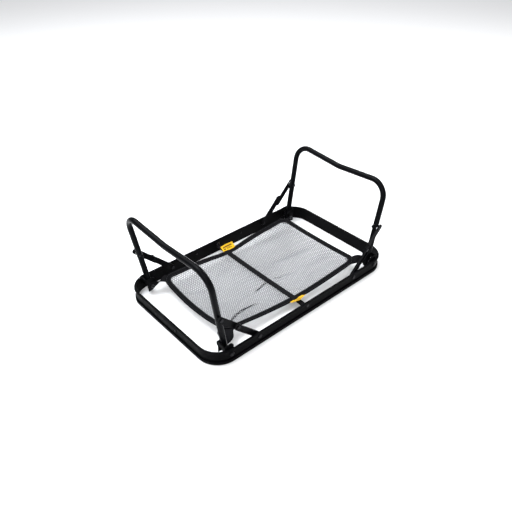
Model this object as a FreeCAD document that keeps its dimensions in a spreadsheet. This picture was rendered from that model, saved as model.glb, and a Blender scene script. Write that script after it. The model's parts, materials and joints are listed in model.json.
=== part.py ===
import FreeCAD, Part
import math
import os
import Sketcher
from FreeCAD import Placement, Rotation, Vector

# Folding luggage rack: a bent channel frame with a mesh sling inside it, and a folding
# tube leg at each end, each held open by two folding stays. Millimetres, +Z up. The frame
# stands on Z = 0 with its long side along X; the legs stand up from it, opened out.
# Every piece of a corner is drawn for the corner at +X and +Y and mirrored to the others.

os.makedirs("parts", exist_ok=True)
doc = FreeCAD.newDocument("LuggageRack")

sizes = {
    # frame: one channel section, bent round and butted on the far long side
    "ring_length": 640.0,
    "ring_width": 386.0,
    "ring_height": 39.5,
    "ring_corner": 61.5,
    "ring_depth": 6.5,
    "web_recess": 3.2,
    "groove_recess": 4.3,
    "cutter_inset": -3.0,
    "lip_top": 9.5,
    "groove_top": 15.5,
    "flange_bottom": 36.9,
    "lip_round": 3.6,
    "edge_round": 0.8,
    "joint_gap": 0.4,
    "joint_x": 45.0,
    # splice bar and end plate, both in the channel
    "splice_length": 206.0,
    "splice_height": 17.0,
    "splice_thickness": 2.4,
    "splice_rivet_x": 85.0,
    "plate_length": 95.0,
    "plate_height": 14.0,
    "plate_thickness": 1.2,
    "plate_y": 7.0,
    "plate_z": 23.5,
    "plate_hole": 2.4,
    "plate_pitch": 23.0,
    "plate_rivet_y": 42.0,
    # legs: round tube, folding about pivot_x, pivot_z
    "pivot_x": 263.0,
    "pivot_z": 25.0,
    "leg_lean": 9.0,
    "post_y": 163.0,
    "post_top_y": 166.7,
    "leg_height": 242.0,
    "leg_dip": 11.6,
    "leg_bend": 44.0,
    "dip_bend": 80.0,
    "tube_radius": 8.0,
    "bore_radius": 6.7,
    "post_tail": 12.0,
    "plug_height": 4.0,
    "plug_stub": 8.0,
    "plug_radius": 6.4,
    # pivot brackets
    "inner_ear": 152.2,
    "outer_ear": 182.2,
    "collar_face": 185.4,
    "ear_thickness": 2.5,
    "ear_half": 12.0,
    "ear_top": 24.0,
    "stop_inner": 13.6,
    "stop_outer": 16.1,
    "stop_bottom": 13.5,
    # stays: frame pivot, leg rivet, and the elbow between the two links
    "stay_x": 174.5,
    "stay_z": 26.0,
    "stay_grip": 108.5,
    "upper_reach": 66.0,
    "upper_tail": 14.0,
    "upper_lead": 7.0,
    "lower_head": 16.0,
    "link_half": 8.0,
    "upper_in": 174.5,
    "upper_thickness": 3.0,
    "lower_in": 179.5,
    "lower_depth": 5.0,
    "lower_wall": 1.6,
    "slot_length": 13.0,
    "stop_tab": 3.0,
    # fasteners
    "bolt_shank": 3.0,
    "bolt_head": 6.2,
    "rivet_shank": 2.5,
    "rivet_head": 4.6,
    "hole_play": 0.08,
    "side_play": 0.4,
    "tail": 1.2,
    "low_head": 0.8,
    "low_round": 0.6,
    "thin_head": 1.7,
    "rivet_dome": 2.0,
    "stay_head": 5.6,
    "flush_gap": 0.1,
    "bolt_end": 144.0,
    "bolt_dome": 2.8,
    "dome_round": 2.4,
    "nut_radius": 5.6,
    "nut_height": 4.6,
    "spacer_radius": 6.0,
    "washer_radius": 7.0,
    "washer_thickness": 1.4,
    "ear_round": 2.0,
    "plug_round": 3.2,
    "plate_shank": 1.25,
    "plate_head": 2.4,
    "slot_half": 2.6,
    "hollow_half": 6.4,
    # sling: a mesh panel bound with tape, hung by one long strap and four corner straps
    "sling_length": 484.0,
    "sling_width": 292.0,
    "sling_corner": 16.0,
    "binding_width": 12.5,
    "binding_thickness": 3.4,
    "panel_thickness": 1.8,
    "sling_z": 26.5,
    "strap_x": -7.0,
    "strap_width": 16.0,
    "strap_thickness": 1.6,
    "strap_bolt_z": 27.0,
    "strap_fold_z": 36.0,
    "strap_tab_bottom": 19.0,
    "corner_strap_width": 26.0,
    "corner_strap_thickness": 1.8,
    "corner_strap_z": 30.2,
    "corner_tab_bottom": 12.0,
    "patch_x": 222.0,
    "patch_y": 124.0,
    "patch_step_x": 16.0,
    "patch_step_y": 18.0,
    "label_length": 44.0,
    "label_width": 20.0,
    "label_thickness": 0.8,
    "label_y": 160.0,
    "label_gap": 0.1,
    "label_far_shift": 13.0,
    "label_near_shift": 1.0,
}

sheet = doc.addObject("Spreadsheet::Sheet", "Sizes")
for row, (name, number) in enumerate(sizes.items(), start=1):
    sheet.set(f"A{row}", name)
    sheet.set(f"B{row}", str(number))
    sheet.setAlias(f"B{row}", name)
doc.recompute()

WHOLE = 1.0
HALF = 0.5
nodes = []


# Sums of sheet values: each term is (factor, alias).
def amount(*terms):
    return sum(factor * sizes[name] for factor, name in terms)


def formula(*terms):
    return " + ".join(f"{factor} * Sizes.{name}" for factor, name in terms)


def bind(thing, path, *terms):
    thing.setExpression(path, formula(*terms))


def node(thing, label):
    thing.Label = label
    nodes.append(thing)
    return thing


# Sketches, pads and pockets
def body_named(name):
    return doc.addObject("PartDesign::Body", name)


def sketch_on(body, role, offset=()):
    plane = [item for item in body.Origin.OriginFeatures if item.Role == role][0]
    sketch = body.newObject("Sketcher::SketchObject", body.Name + "Sketch")
    sketch.AttachmentSupport = [(plane, "")]
    sketch.MapMode = "FlatFace"
    if offset:
        bind(sketch, ".AttachmentOffset.Base.z", *offset)
    return sketch


def dimension(sketch, kind, references, *terms):
    index = sketch.addConstraint(Sketcher.Constraint(kind, *references, amount(*terms)))
    bind(sketch, f"Constraints[{index}]", *terms)


def pad(body, sketch, *terms, reverse=False):
    feature = body.newObject("PartDesign::Pad", body.Name + "Pad")
    feature.Profile = sketch
    feature.Reversed = reverse
    bind(feature, "Length", *terms)
    return feature


def pocket(body, sketch, *terms, reverse=False):
    feature = body.newObject("PartDesign::Pocket", body.Name + "Pocket")
    feature.Profile = sketch
    feature.Reversed = reverse
    bind(feature, "Length", *terms)
    return feature


def bore_through(body, sketch, symmetric=True, reverse=False):
    feature = body.newObject("PartDesign::Pocket", body.Name + "Bore")
    feature.Profile = sketch
    feature.Type = "ThroughAll"
    feature.Midplane = symmetric
    feature.Reversed = reverse
    return feature


def circle(sketch, across, up, radius):
    centre = Vector(amount(*across), amount(*up), 0)
    ring = sketch.addGeometry(Part.Circle(centre, Vector(0, 0, 1), amount(*radius)), False)
    dimension(sketch, "Radius", (ring,), *radius)
    dimension(sketch, "DistanceX", (-1, 1, ring, 3), *across)
    dimension(sketch, "DistanceY", (-1, 1, ring, 3), *up)


def polygon(sketch, corners):
    """A closed outline of straight lines; each corner is a pair of sums of sheet values."""
    points = [Vector(amount(*across), amount(*up), 0) for across, up in corners]
    count = len(points)
    first = sketch.GeometryCount
    for index in range(count):
        line = Part.LineSegment(points[index], points[(index + 1) % count])
        sketch.addGeometry(line, False)
    for index in range(count):
        after = first + (index + 1) % count
        sketch.addConstraint(Sketcher.Constraint("Coincident", first + index, 2, after, 1))
    for index, (across, up) in enumerate(corners):
        dimension(sketch, "DistanceX", (-1, 1, first + index, 1), *across)
        dimension(sketch, "DistanceY", (-1, 1, first + index, 1), *up)


def rounded_rectangle(sketch, half_x, half_y, radius):
    """A centred rectangle with round corners, drawn as four lines and four tangent arcs."""
    reach_x, reach_y, bend = amount(*half_x), amount(*half_y), amount(*radius)
    flat_x, flat_y = reach_x - bend, reach_y - bend
    first = sketch.GeometryCount
    ends = [
        (Vector(-flat_x, -reach_y, 0), Vector(flat_x, -reach_y, 0)),
        (Vector(reach_x, -flat_y, 0), Vector(reach_x, flat_y, 0)),
        (Vector(flat_x, reach_y, 0), Vector(-flat_x, reach_y, 0)),
        (Vector(-reach_x, flat_y, 0), Vector(-reach_x, -flat_y, 0)),
    ]
    for start, end in ends:
        sketch.addGeometry(Part.LineSegment(start, end), False)
    corners = [(flat_x, -flat_y, -90), (flat_x, flat_y, 0), (-flat_x, flat_y, 90), (-flat_x, -flat_y, 180)]
    for centre_x, centre_y, start in corners:
        whole = Part.Circle(Vector(centre_x, centre_y, 0), Vector(0, 0, 1), bend)
        arc = Part.ArcOfCircle(whole, math.radians(start), math.radians(start + 90))
        sketch.addGeometry(arc, False)
    for side in range(4):
        line, arc, after = first + side, first + 4 + side, first + (side + 1) % 4
        sketch.addConstraint(Sketcher.Constraint("Tangent", line, 2, arc, 1))
        sketch.addConstraint(Sketcher.Constraint("Tangent", arc, 2, after, 1))
        direction = "Vertical" if side % 2 else "Horizontal"
        sketch.addConstraint(Sketcher.Constraint(direction, line))
    for arc in range(first + 5, first + 8):
        sketch.addConstraint(Sketcher.Constraint("Equal", first + 4, arc))
    dimension(sketch, "Radius", (first + 4,), *radius)
    dimension(sketch, "DistanceX", (-1, 1, first + 1, 1), *half_x)
    dimension(sketch, "DistanceX", (first + 3, 1, -1, 1), *half_x)
    dimension(sketch, "DistanceY", (-1, 1, first + 2, 1), *half_y)
    dimension(sketch, "DistanceY", (first, 1, -1, 1), *half_y)


def soften(body, feature, wanted, radius_name):
    """Round the edges of a feature for which wanted(edge) is true."""
    doc.recompute()
    names = [f"Edge{number}" for number, edge in enumerate(feature.Shape.Edges, start=1) if wanted(edge)]
    rounding = body.newObject("PartDesign::Fillet", body.Name + "Round")
    rounding.Base = (feature, names)
    bind(rounding, "Radius", (WHOLE, radius_name))
    return rounding


# Copies to the other corners
def mirrored(source, name, normal):
    copy = doc.addObject("Part::Mirroring", name)
    copy.Source = source
    copy.Normal = normal
    return copy


def group(name, members):
    cluster = doc.addObject("Part::Compound", name)
    cluster.Links = members
    return cluster


def both_sides(source, name):
    return [source, mirrored(source, name + "Near", Vector(0, 1, 0))]


def all_corners(source, name):
    pair = both_sides(source, name)
    lefts = [mirrored(item, name + "Left", Vector(1, 0, 0)) for item in pair]
    return pair + lefts


CORNERS = ("right_far", "right_near", "left_far", "left_near")


def corner_nodes(source, name, suffix):
    """One node at each corner, from the piece drawn at +X and +Y."""
    for corner, copy in zip(CORNERS, all_corners(source, name)):
        node(copy, f"{corner}_{suffix}")


def fastener(name, shank, head, length, head_height, dome_name):
    """A round shank along +Z with a domed head beyond it, on the shank's own origin."""
    body = body_named(name)
    rod = sketch_on(body, "XY_Plane")
    circle(rod, ((0.0, shank),), ((0.0, shank),), ((WHOLE, shank),))
    pad(body, rod, *length)
    cap = sketch_on(body, "XY_Plane", length)
    circle(cap, ((0.0, head),), ((0.0, head),), ((WHOLE, head),))
    top = pad(body, cap, *head_height)
    height = amount(*length) + amount(*head_height)
    soften(body, top, lambda edge: abs(edge.BoundBox.ZMin - height) < 1e-6, dome_name)
    return body


OUTWARD = Rotation(Vector(1, 0, 0), -90)
INWARD = Rotation(Vector(1, 0, 0), 90)


def washer(name, outer, inner, thickness):
    """A flat ring or tube along +Z from its own origin."""
    body = body_named(name)
    face = sketch_on(body, "XY_Plane")
    circle(face, ((0.0, outer[0][1]),), ((0.0, outer[0][1]),), outer)
    circle(face, ((0.0, outer[0][1]),), ((0.0, outer[0][1]),), inner)
    pad(body, face, *thickness)
    return body


# Faces of the frame across its width
wall_inner_y = ((HALF, "ring_width"), (-WHOLE, "ring_depth"))
wall_outer_y = ((HALF, "ring_width"), (-WHOLE, "web_recess"))
end_face_x = ((HALF, "ring_length"), (-WHOLE, "web_recess"))


# Frame
def ring_outline(sketch, inset):
    half_x = ((HALF, "ring_length"), (-WHOLE, inset))
    half_y = ((HALF, "ring_width"), (-WHOLE, inset))
    rounded_rectangle(sketch, half_x, half_y, ((WHOLE, "ring_corner"), (-WHOLE, inset)))


def band_cut(body, inset, bottom, top):
    """Cut the outside of the frame back to an inset, between two heights."""
    sketch = sketch_on(body, "XY_Plane", ((WHOLE, bottom),))
    ring_outline(sketch, "cutter_inset")
    ring_outline(sketch, inset)
    return pocket(body, sketch, (WHOLE, top), (-WHOLE, bottom), reverse=True)


def outside_edge(height):
    def wanted(edge):
        box = edge.BoundBox
        level = abs(box.ZMin - height) < 1e-6 and abs(box.ZMax - height) < 1e-6
        reach_x = max(abs(box.XMin), abs(box.XMax)) / sizes["ring_length"]
        reach_y = max(abs(box.YMin), abs(box.YMax)) / sizes["ring_width"]
        return level and max(reach_x, reach_y) > HALF - 1e-6
    return wanted


def frame():
    body = body_named("Ring")
    outline = sketch_on(body, "XY_Plane")
    half_x = ((HALF, "ring_length"),)
    half_y = ((HALF, "ring_width"),)
    rounded_rectangle(outline, half_x, half_y, ((WHOLE, "ring_corner"),))
    ring_outline(outline, "ring_depth")
    solid = pad(body, outline, (WHOLE, "ring_height"))
    solid = soften(body, solid, outside_edge(0.0), "lip_round")
    solid = soften(body, solid, outside_edge(sizes["ring_height"]), "edge_round")
    band_cut(body, "web_recess", "groove_top", "flange_bottom")
    band_cut(body, "groove_recess", "lip_top", "groove_top")
    holes = sketch_on(body, "XZ_Plane")
    bolt_hole = ((WHOLE, "bolt_shank"), (WHOLE, "hole_play"))
    rivet_hole = ((WHOLE, "rivet_shank"), (WHOLE, "hole_play"))
    for side in (-WHOLE, WHOLE):
        circle(holes, ((side, "pivot_x"),), ((WHOLE, "pivot_z"),), bolt_hole)
        circle(holes, ((side, "stay_x"),), ((WHOLE, "stay_z"),), rivet_hole)
    circle(holes, ((WHOLE, "strap_x"),), ((WHOLE, "strap_bolt_z"),), rivet_hole)
    bore_through(body, holes)
    splice_holes = sketch_on(body, "XZ_Plane")
    for side in (-WHOLE, WHOLE):
        circle(splice_holes, ((side, "splice_rivet_x"),), ((WHOLE, "stay_z"),), rivet_hole)
    bore_through(body, splice_holes, symmetric=False, reverse=False)
    plate_holes = sketch_on(body, "YZ_Plane")
    for side in (-WHOLE, WHOLE):
        across = ((WHOLE, "plate_y"), (side, "plate_rivet_y"))
        circle(plate_holes, across, ((WHOLE, "plate_z"),), ((HALF, "rivet_shank"), (WHOLE, "hole_play")))
    bore_through(body, plate_holes, symmetric=False, reverse=False)
    joint = sketch_on(body, "YZ_Plane", ((WHOLE, "joint_x"),))
    inner = ((HALF, "ring_width"), (-2.0, "ring_depth"))
    outer = ((HALF, "ring_width"), (WHOLE, "ring_depth"))
    below = ((-WHOLE, "ring_depth"),)
    above = ((WHOLE, "ring_height"), (WHOLE, "ring_depth"))
    polygon(joint, [(inner, below), (outer, below), (outer, above), (inner, above)])
    pocket(body, joint, (WHOLE, "joint_gap"))
    node(body, "ring_frame")


def splice():
    bar = body_named("Splice")
    face = sketch_on(bar, "XZ_Plane", tuple((-factor, name) for factor, name in wall_outer_y))
    low = ((WHOLE, "stay_z"), (-HALF, "splice_height"))
    high = ((WHOLE, "stay_z"), (HALF, "splice_height"))
    left, right = ((-HALF, "splice_length"),), ((HALF, "splice_length"),)
    polygon(face, [(left, low), (right, low), (right, high), (left, high)])
    rivet_hole = ((WHOLE, "rivet_shank"), (WHOLE, "hole_play"))
    for side in (-WHOLE, WHOLE):
        circle(face, ((side, "splice_rivet_x"),), ((WHOLE, "stay_z"),), rivet_hole)
    circle(face, ((WHOLE, "strap_x"),), ((WHOLE, "strap_bolt_z"),), rivet_hole)
    pad(bar, face, (WHOLE, "splice_thickness"), reverse=True)
    node(bar, "splice_bar")


def end_plate():
    plate = body_named("EndPlate")
    face = sketch_on(plate, "YZ_Plane", tuple((-factor, name) for factor, name in end_face_x))
    near = ((WHOLE, "plate_y"), (-HALF, "plate_length"))
    far = ((WHOLE, "plate_y"), (HALF, "plate_length"))
    low = ((WHOLE, "plate_z"), (-HALF, "plate_height"))
    high = ((WHOLE, "plate_z"), (HALF, "plate_height"))
    polygon(face, [(near, low), (far, low), (far, high), (near, high)])
    for place in (-1.5, -0.5, 0.5, 1.5):
        across = ((WHOLE, "plate_y"), (place, "plate_pitch"))
        circle(face, across, ((WHOLE, "plate_z"), (-WHOLE, "plate_hole")), ((WHOLE, "plate_hole"),))
    for side in (-WHOLE, WHOLE):
        across = ((WHOLE, "plate_y"), (side, "plate_rivet_y"))
        circle(face, across, ((WHOLE, "plate_z"),), ((HALF, "rivet_shank"), (WHOLE, "hole_play")))
    pad(plate, face, (WHOLE, "plate_thickness"), reverse=True)
    node(plate, "end_plate")


# Fasteners of the frame
def place_on_wall(body, across, along, up, rotation):
    body.Placement = Placement(Vector(across, along, up), rotation)
    return body


def splice_rivets():
    length = ((WHOLE, "ring_depth"), (-WHOLE, "web_recess"), (WHOLE, "splice_thickness"), (WHOLE, "tail"))
    rivet = fastener("SpliceRivet", "rivet_shank", "rivet_head", length, ((WHOLE, "low_head"),), "low_round")
    inside = amount(*wall_inner_y, (-WHOLE, "tail"))
    place_on_wall(rivet, sizes["splice_rivet_x"], inside, sizes["stay_z"], OUTWARD)
    other = mirrored(rivet, "SpliceRivetLeft", Vector(1, 0, 0))
    node(group("SpliceRivets", [rivet, other]), "splice_rivets")


def end_plate_rivets():
    length = ((WHOLE, "ring_depth"), (-WHOLE, "web_recess"), (WHOLE, "plate_thickness"))
    rivet = fastener("PlateRivet", "plate_shank", "plate_head", length, ((WHOLE, "low_head"),), "low_round")
    inside = -amount((HALF, "ring_length"), (-WHOLE, "ring_depth"))
    across = amount((WHOLE, "plate_y"), (WHOLE, "plate_rivet_y"))
    place_on_wall(rivet, inside, across, sizes["plate_z"], Rotation(Vector(0, 1, 0), -90))
    other = mirrored(rivet, "PlateRivetNear", Vector(0, 1, 0))
    other.setExpression(".Base.y", formula((WHOLE, "plate_y")))
    node(group("PlateRivets", [rivet, other]), "end_plate_rivets")


def pivot_bolts():
    """Domed bolt from the channel through the bracket's two ears, with its nut and spacers."""
    length = (*wall_outer_y, (-WHOLE, "bolt_end"))
    bolt = fastener("PivotBolt", "bolt_shank", "bolt_head", length, ((WHOLE, "bolt_dome"),), "dome_round")
    place_on_wall(bolt, sizes["pivot_x"], sizes["bolt_end"], sizes["pivot_z"], OUTWARD)
    node(group("PivotBolts", all_corners(bolt, "PivotBoltCopy")), "pivot_bolts")

    nut = body_named("PivotNut")
    face = sketch_on(nut, "XY_Plane")
    corners = [(math.cos(math.radians(60 * turn)), math.sin(math.radians(60 * turn))) for turn in range(6)]
    polygon(face, [(((x, "nut_radius"),), ((y, "nut_radius"),)) for x, y in corners])
    circle(face, ((0.0, "bolt_shank"),), ((0.0, "bolt_shank"),), ((WHOLE, "bolt_shank"), (WHOLE, "hole_play")))
    pad(nut, face, (WHOLE, "nut_height"))
    place_on_wall(nut, sizes["pivot_x"], amount(*strap_tab_in), sizes["pivot_z"], INWARD)
    node(group("PivotNuts", all_corners(nut, "PivotNutCopy")), "pivot_nuts")

    outer = ((WHOLE, "spacer_radius"),)
    inner = ((WHOLE, "bolt_shank"), (WHOLE, "hole_play"))
    length = (*outer_ear_in, (-WHOLE, "post_y"), (-WHOLE, "tube_radius"), (-WHOLE, "side_play"))
    spacer = washer("PivotSpacer", outer, inner, length)
    place_on_wall(spacer, sizes["pivot_x"], amount(*outer_ear_in), sizes["pivot_z"], INWARD)
    collar = washer("PivotCollar", outer, inner, ((WHOLE, "collar_face"), (-WHOLE, "outer_ear")))
    place_on_wall(collar, sizes["pivot_x"], sizes["collar_face"], sizes["pivot_z"], INWARD)
    tubes = all_corners(spacer, "PivotSpacerCopy") + all_corners(collar, "PivotCollarCopy")
    node(group("PivotSpacers", tubes), "pivot_spacers")


def stay_pivots():
    """Rivet and spacer tube on which a lower link turns at the frame."""
    start = amount((WHOLE, "lower_in"), (-WHOLE, "flush_gap"))
    length = (*wall_outer_y, (-WHOLE, "lower_in"), (WHOLE, "flush_gap"))
    rivet = fastener("StayPivot", "rivet_shank", "stay_head", length, ((WHOLE, "rivet_dome"),), "low_round")
    place_on_wall(rivet, sizes["stay_x"], start, sizes["stay_z"], OUTWARD)
    back = washer("StayPivotBack", ((WHOLE, "rivet_head"),), ((WHOLE, "rivet_shank"),), ((WHOLE, "thin_head"),))
    place_on_wall(back, sizes["stay_x"], start, sizes["stay_z"], INWARD)
    whole = doc.addObject("Part::MultiFuse", "StayPivotWhole")
    plug = doc.addObject("Part::Cylinder", "StayPivotEnd")
    bind(plug, "Radius", (WHOLE, "rivet_shank"))
    bind(plug, "Height", (WHOLE, "thin_head"))
    place_on_wall(plug, sizes["stay_x"], start, sizes["stay_z"], INWARD)
    whole.Shapes = [rivet, back, plug]
    node(group("StayPivots", all_corners(whole, "StayPivotCopy")), "stay_pivot_rivets")

    outer = ((WHOLE, "rivet_head"),)
    inner = ((WHOLE, "rivet_shank"), (WHOLE, "hole_play"))
    length = (*wall_inner_y, (-WHOLE, "lower_in"), (-WHOLE, "lower_wall"), (-WHOLE, "flush_gap"))
    tube = washer("StaySpacer", outer, inner, length)
    place_on_wall(tube, sizes["stay_x"], amount(*wall_inner_y), sizes["stay_z"], INWARD)
    node(group("StaySpacers", all_corners(tube, "StaySpacerCopy")), "stay_pivot_spacers")


# Pivot brackets
outer_ear_in = ((WHOLE, "outer_ear"), (-WHOLE, "ear_thickness"))
strap_tab_in = ((WHOLE, "inner_ear"), (-WHOLE, "corner_strap_thickness"))


def brackets():
    """A U of sheet metal: two ears either side of a post, joined by a stop behind it."""
    body = body_named("Bracket")
    outline = sketch_on(body, "XZ_Plane", ((-WHOLE, "outer_ear"),))
    left = ((WHOLE, "pivot_x"), (-WHOLE, "ear_half"))
    right = ((WHOLE, "pivot_x"), (WHOLE, "ear_half"))
    stop = ((WHOLE, "pivot_x"), (WHOLE, "stop_outer"))
    nose_left = ((WHOLE, "pivot_x"), (-HALF, "ear_half"))
    nose_right = ((WHOLE, "pivot_x"), (HALF, "ear_half"))
    bottom = ((WHOLE, "pivot_z"), (-WHOLE, "ear_half"))
    shoulder = ((WHOLE, "pivot_z"), (-HALF, "ear_half"))
    knee = ((WHOLE, "pivot_z"), (HALF, "stop_bottom"))
    stop_low = ((WHOLE, "pivot_z"), (WHOLE, "stop_bottom"))
    top = ((WHOLE, "pivot_z"), (WHOLE, "ear_top"))
    top_shoulder = ((WHOLE, "pivot_z"), (WHOLE, "ear_top"), (-HALF, "ear_half"))
    polygon(outline, [
        (nose_left, bottom), (nose_right, bottom), (right, shoulder), (right, knee), (stop, stop_low),
        (stop, top), (nose_left, top), (left, top_shoulder), (left, shoulder),
    ])
    bolt_hole = ((WHOLE, "bolt_shank"), (WHOLE, "hole_play"))
    circle(outline, ((WHOLE, "pivot_x"),), ((WHOLE, "pivot_z"),), bolt_hole)
    pad(body, outline, (WHOLE, "outer_ear"), (-WHOLE, "inner_ear"))
    inside = sketch_on(body, "XZ_Plane", tuple((-factor, name) for factor, name in outer_ear_in))
    clear_left = ((WHOLE, "pivot_x"), (-2.0, "ear_half"))
    clear_right = ((WHOLE, "pivot_x"), (2.0, "ear_half"))
    stop_face = ((WHOLE, "pivot_x"), (WHOLE, "stop_inner"))
    floor = ((WHOLE, "pivot_z"), (-2.0, "ear_half"))
    roof = ((WHOLE, "pivot_z"), (2.0, "ear_top"))
    polygon(inside, [
        (clear_left, floor), (clear_right, floor), (clear_right, stop_low),
        (stop_face, stop_low), (stop_face, roof), (clear_left, roof),
    ])
    depth = (*outer_ear_in, (-WHOLE, "inner_ear"), (-WHOLE, "ear_thickness"))
    channel = pocket(body, inside, *depth, reverse=True)
    centre_x = sizes["pivot_x"]

    def ear_corner(edge):
        box = edge.BoundBox
        across = box.YLength > HALF and box.XLength < 1e-6 and box.ZLength < 1e-6
        return across and box.YLength < 2 * sizes["ear_thickness"] and box.XMin < centre_x

    soften(body, channel, ear_corner, "ear_round")
    corner_nodes(body, "BracketCopy", "pivot_bracket")


# Legs
def leg_frame():
    place = Vector(sizes["pivot_x"], 0, sizes["pivot_z"])
    return Placement(place, Rotation(Vector(0, 1, 0), sizes["leg_lean"]))


def post_offset(height):
    """How far a post's centre line is from the leg's middle, at a height up the leg."""
    return sizes["post_y"] + math.tan(math.radians(post_slant())) * height


def post_slant():
    """How steeply the posts spread apart, in degrees."""
    spread = amount((WHOLE, "post_top_y"), (-WHOLE, "post_y"))
    return math.degrees(math.atan2(spread, sizes["leg_height"]))


def bend_arc(before, corner, after, radius):
    """The arc that rounds a corner, drawn counter-clockwise, and where it meets both lines."""
    into = (corner - before).normalize()
    out = (after - corner).normalize()
    turn = into.getAngle(out)
    setback = radius * math.tan(turn / 2)
    start = corner - into * setback
    end = corner + out * setback
    middle = corner + (out - into).normalize() * (radius / math.cos(turn / 2) - radius)
    return start, middle, end


def leg_path(sketch):
    """Post, bend, top bar with a shallow dip in its middle, bend, post."""
    tail = Vector(-post_offset(-sizes["post_tail"]), -sizes["post_tail"], 0)
    left = Vector(-sizes["post_top_y"], sizes["leg_height"], 0)
    dip = Vector(0, sizes["leg_height"] - sizes["leg_dip"], 0)
    right = Vector(-left.x, left.y, 0)
    end = Vector(-tail.x, tail.y, 0)
    bends = [
        bend_arc(tail, left, dip, sizes["leg_bend"]),
        bend_arc(left, dip, right, sizes["dip_bend"]),
        bend_arc(dip, right, end, sizes["leg_bend"]),
    ]
    here = tail
    for start, middle, finish in bends:
        sketch.addGeometry(Part.LineSegment(here, start), False)
        sketch.addGeometry(Part.Arc(start, middle, finish), False)
        here = finish
    sketch.addGeometry(Part.LineSegment(here, end), False)
    corners = [sketch.addGeometry(Part.Point(point), True) for point in (left, dip, right)]
    posts_and_bars = (0, 2, 4, 6)
    clockwise = {1: True, 3: False, 5: True}
    for arc, turns_right in clockwise.items():
        entry, leave = (2, 1) if turns_right else (1, 2)
        sketch.addConstraint(Sketcher.Constraint("Tangent", arc - 1, 2, arc, entry))
        sketch.addConstraint(Sketcher.Constraint("Tangent", arc, leave, arc + 1, 1))
    for index, corner in enumerate(corners):
        sketch.addConstraint(Sketcher.Constraint("PointOnObject", corner, 1, posts_and_bars[index]))
        sketch.addConstraint(Sketcher.Constraint("PointOnObject", corner, 1, posts_and_bars[index + 1]))
    dimension(sketch, "Radius", (1,), (WHOLE, "leg_bend"))
    dimension(sketch, "Radius", (3,), (WHOLE, "dip_bend"))
    dimension(sketch, "Radius", (5,), (WHOLE, "leg_bend"))
    top = ((WHOLE, "leg_height"),)
    dimension(sketch, "DistanceX", (corners[0], 1, -1, 1), (WHOLE, "post_top_y"))
    dimension(sketch, "DistanceX", (-1, 1, corners[2], 1), (WHOLE, "post_top_y"))
    dimension(sketch, "DistanceY", (-1, 1, corners[0], 1), *top)
    dimension(sketch, "DistanceY", (-1, 1, corners[2], 1), *top)
    dimension(sketch, "DistanceY", (-1, 1, corners[1], 1), *top, (-WHOLE, "leg_dip"))
    sketch.addConstraint(Sketcher.Constraint("PointOnObject", corners[1], 1, -2))
    dimension(sketch, "DistanceY", (0, 1, -1, 1), (WHOLE, "post_tail"))
    dimension(sketch, "DistanceY", (6, 2, -1, 1), (WHOLE, "post_tail"))


def leg():
    body = body_named("Leg")
    path = sketch_on(body, "YZ_Plane")
    leg_path(path)
    zero = ((0.0, "post_tail"),)
    section = sketch_on(body, "XY_Plane")
    foot = Vector(0, -post_offset(-sizes["post_tail"]), -sizes["post_tail"])
    section.AttachmentOffset = Placement(foot, Rotation(Vector(1, 0, 0), post_slant()))
    circle(section, zero, zero, ((WHOLE, "tube_radius"),))
    circle(section, zero, zero, ((WHOLE, "bore_radius"),))
    pipe = body.newObject("PartDesign::AdditivePipe", "LegPipe")
    pipe.Profile = section
    pipe.Spine = path
    holes = sketch_on(body, "XZ_Plane")
    circle(holes, zero, zero, ((WHOLE, "bolt_shank"), (WHOLE, "hole_play")))
    circle(holes, zero, ((WHOLE, "stay_grip"),), ((WHOLE, "rivet_shank"), (WHOLE, "hole_play")))
    bore_through(body, holes)
    body.Placement = leg_frame()
    leg_pair(body, "leg_tube")


def leg_pair(piece, suffix):
    """The right leg's piece and its mirror image on the left leg."""
    node(piece, f"right_{suffix}")
    node(mirrored(piece, piece.Name + "Left", Vector(1, 0, 0)), f"left_{suffix}")


def leg_plugs():
    """Round-ended plastic plugs in the open ends of the posts."""
    plug = body_named("Plug")
    stub = sketch_on(plug, "XY_Plane")
    zero = ((0.0, "plug_radius"),)
    circle(stub, zero, zero, ((WHOLE, "plug_radius"),))
    pad(plug, stub, (WHOLE, "plug_stub"))
    cap = sketch_on(plug, "XY_Plane")
    circle(cap, zero, zero, ((WHOLE, "tube_radius"),))
    cover = pad(plug, cap, (WHOLE, "plug_height"), reverse=True)
    lowest = -sizes["plug_height"]
    soften(plug, cover, lambda edge: abs(edge.BoundBox.ZMax - lowest) < 1e-6, "plug_round")
    foot = Vector(0, post_offset(-sizes["post_tail"]), -sizes["post_tail"])
    turn = Rotation(Vector(1, 0, 0), -post_slant())
    plug.Placement = leg_frame().multiply(Placement(foot, turn))
    leg_pair(group("LegPlugs", both_sides(plug, "PlugCopy")), "leg_plugs")


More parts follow.
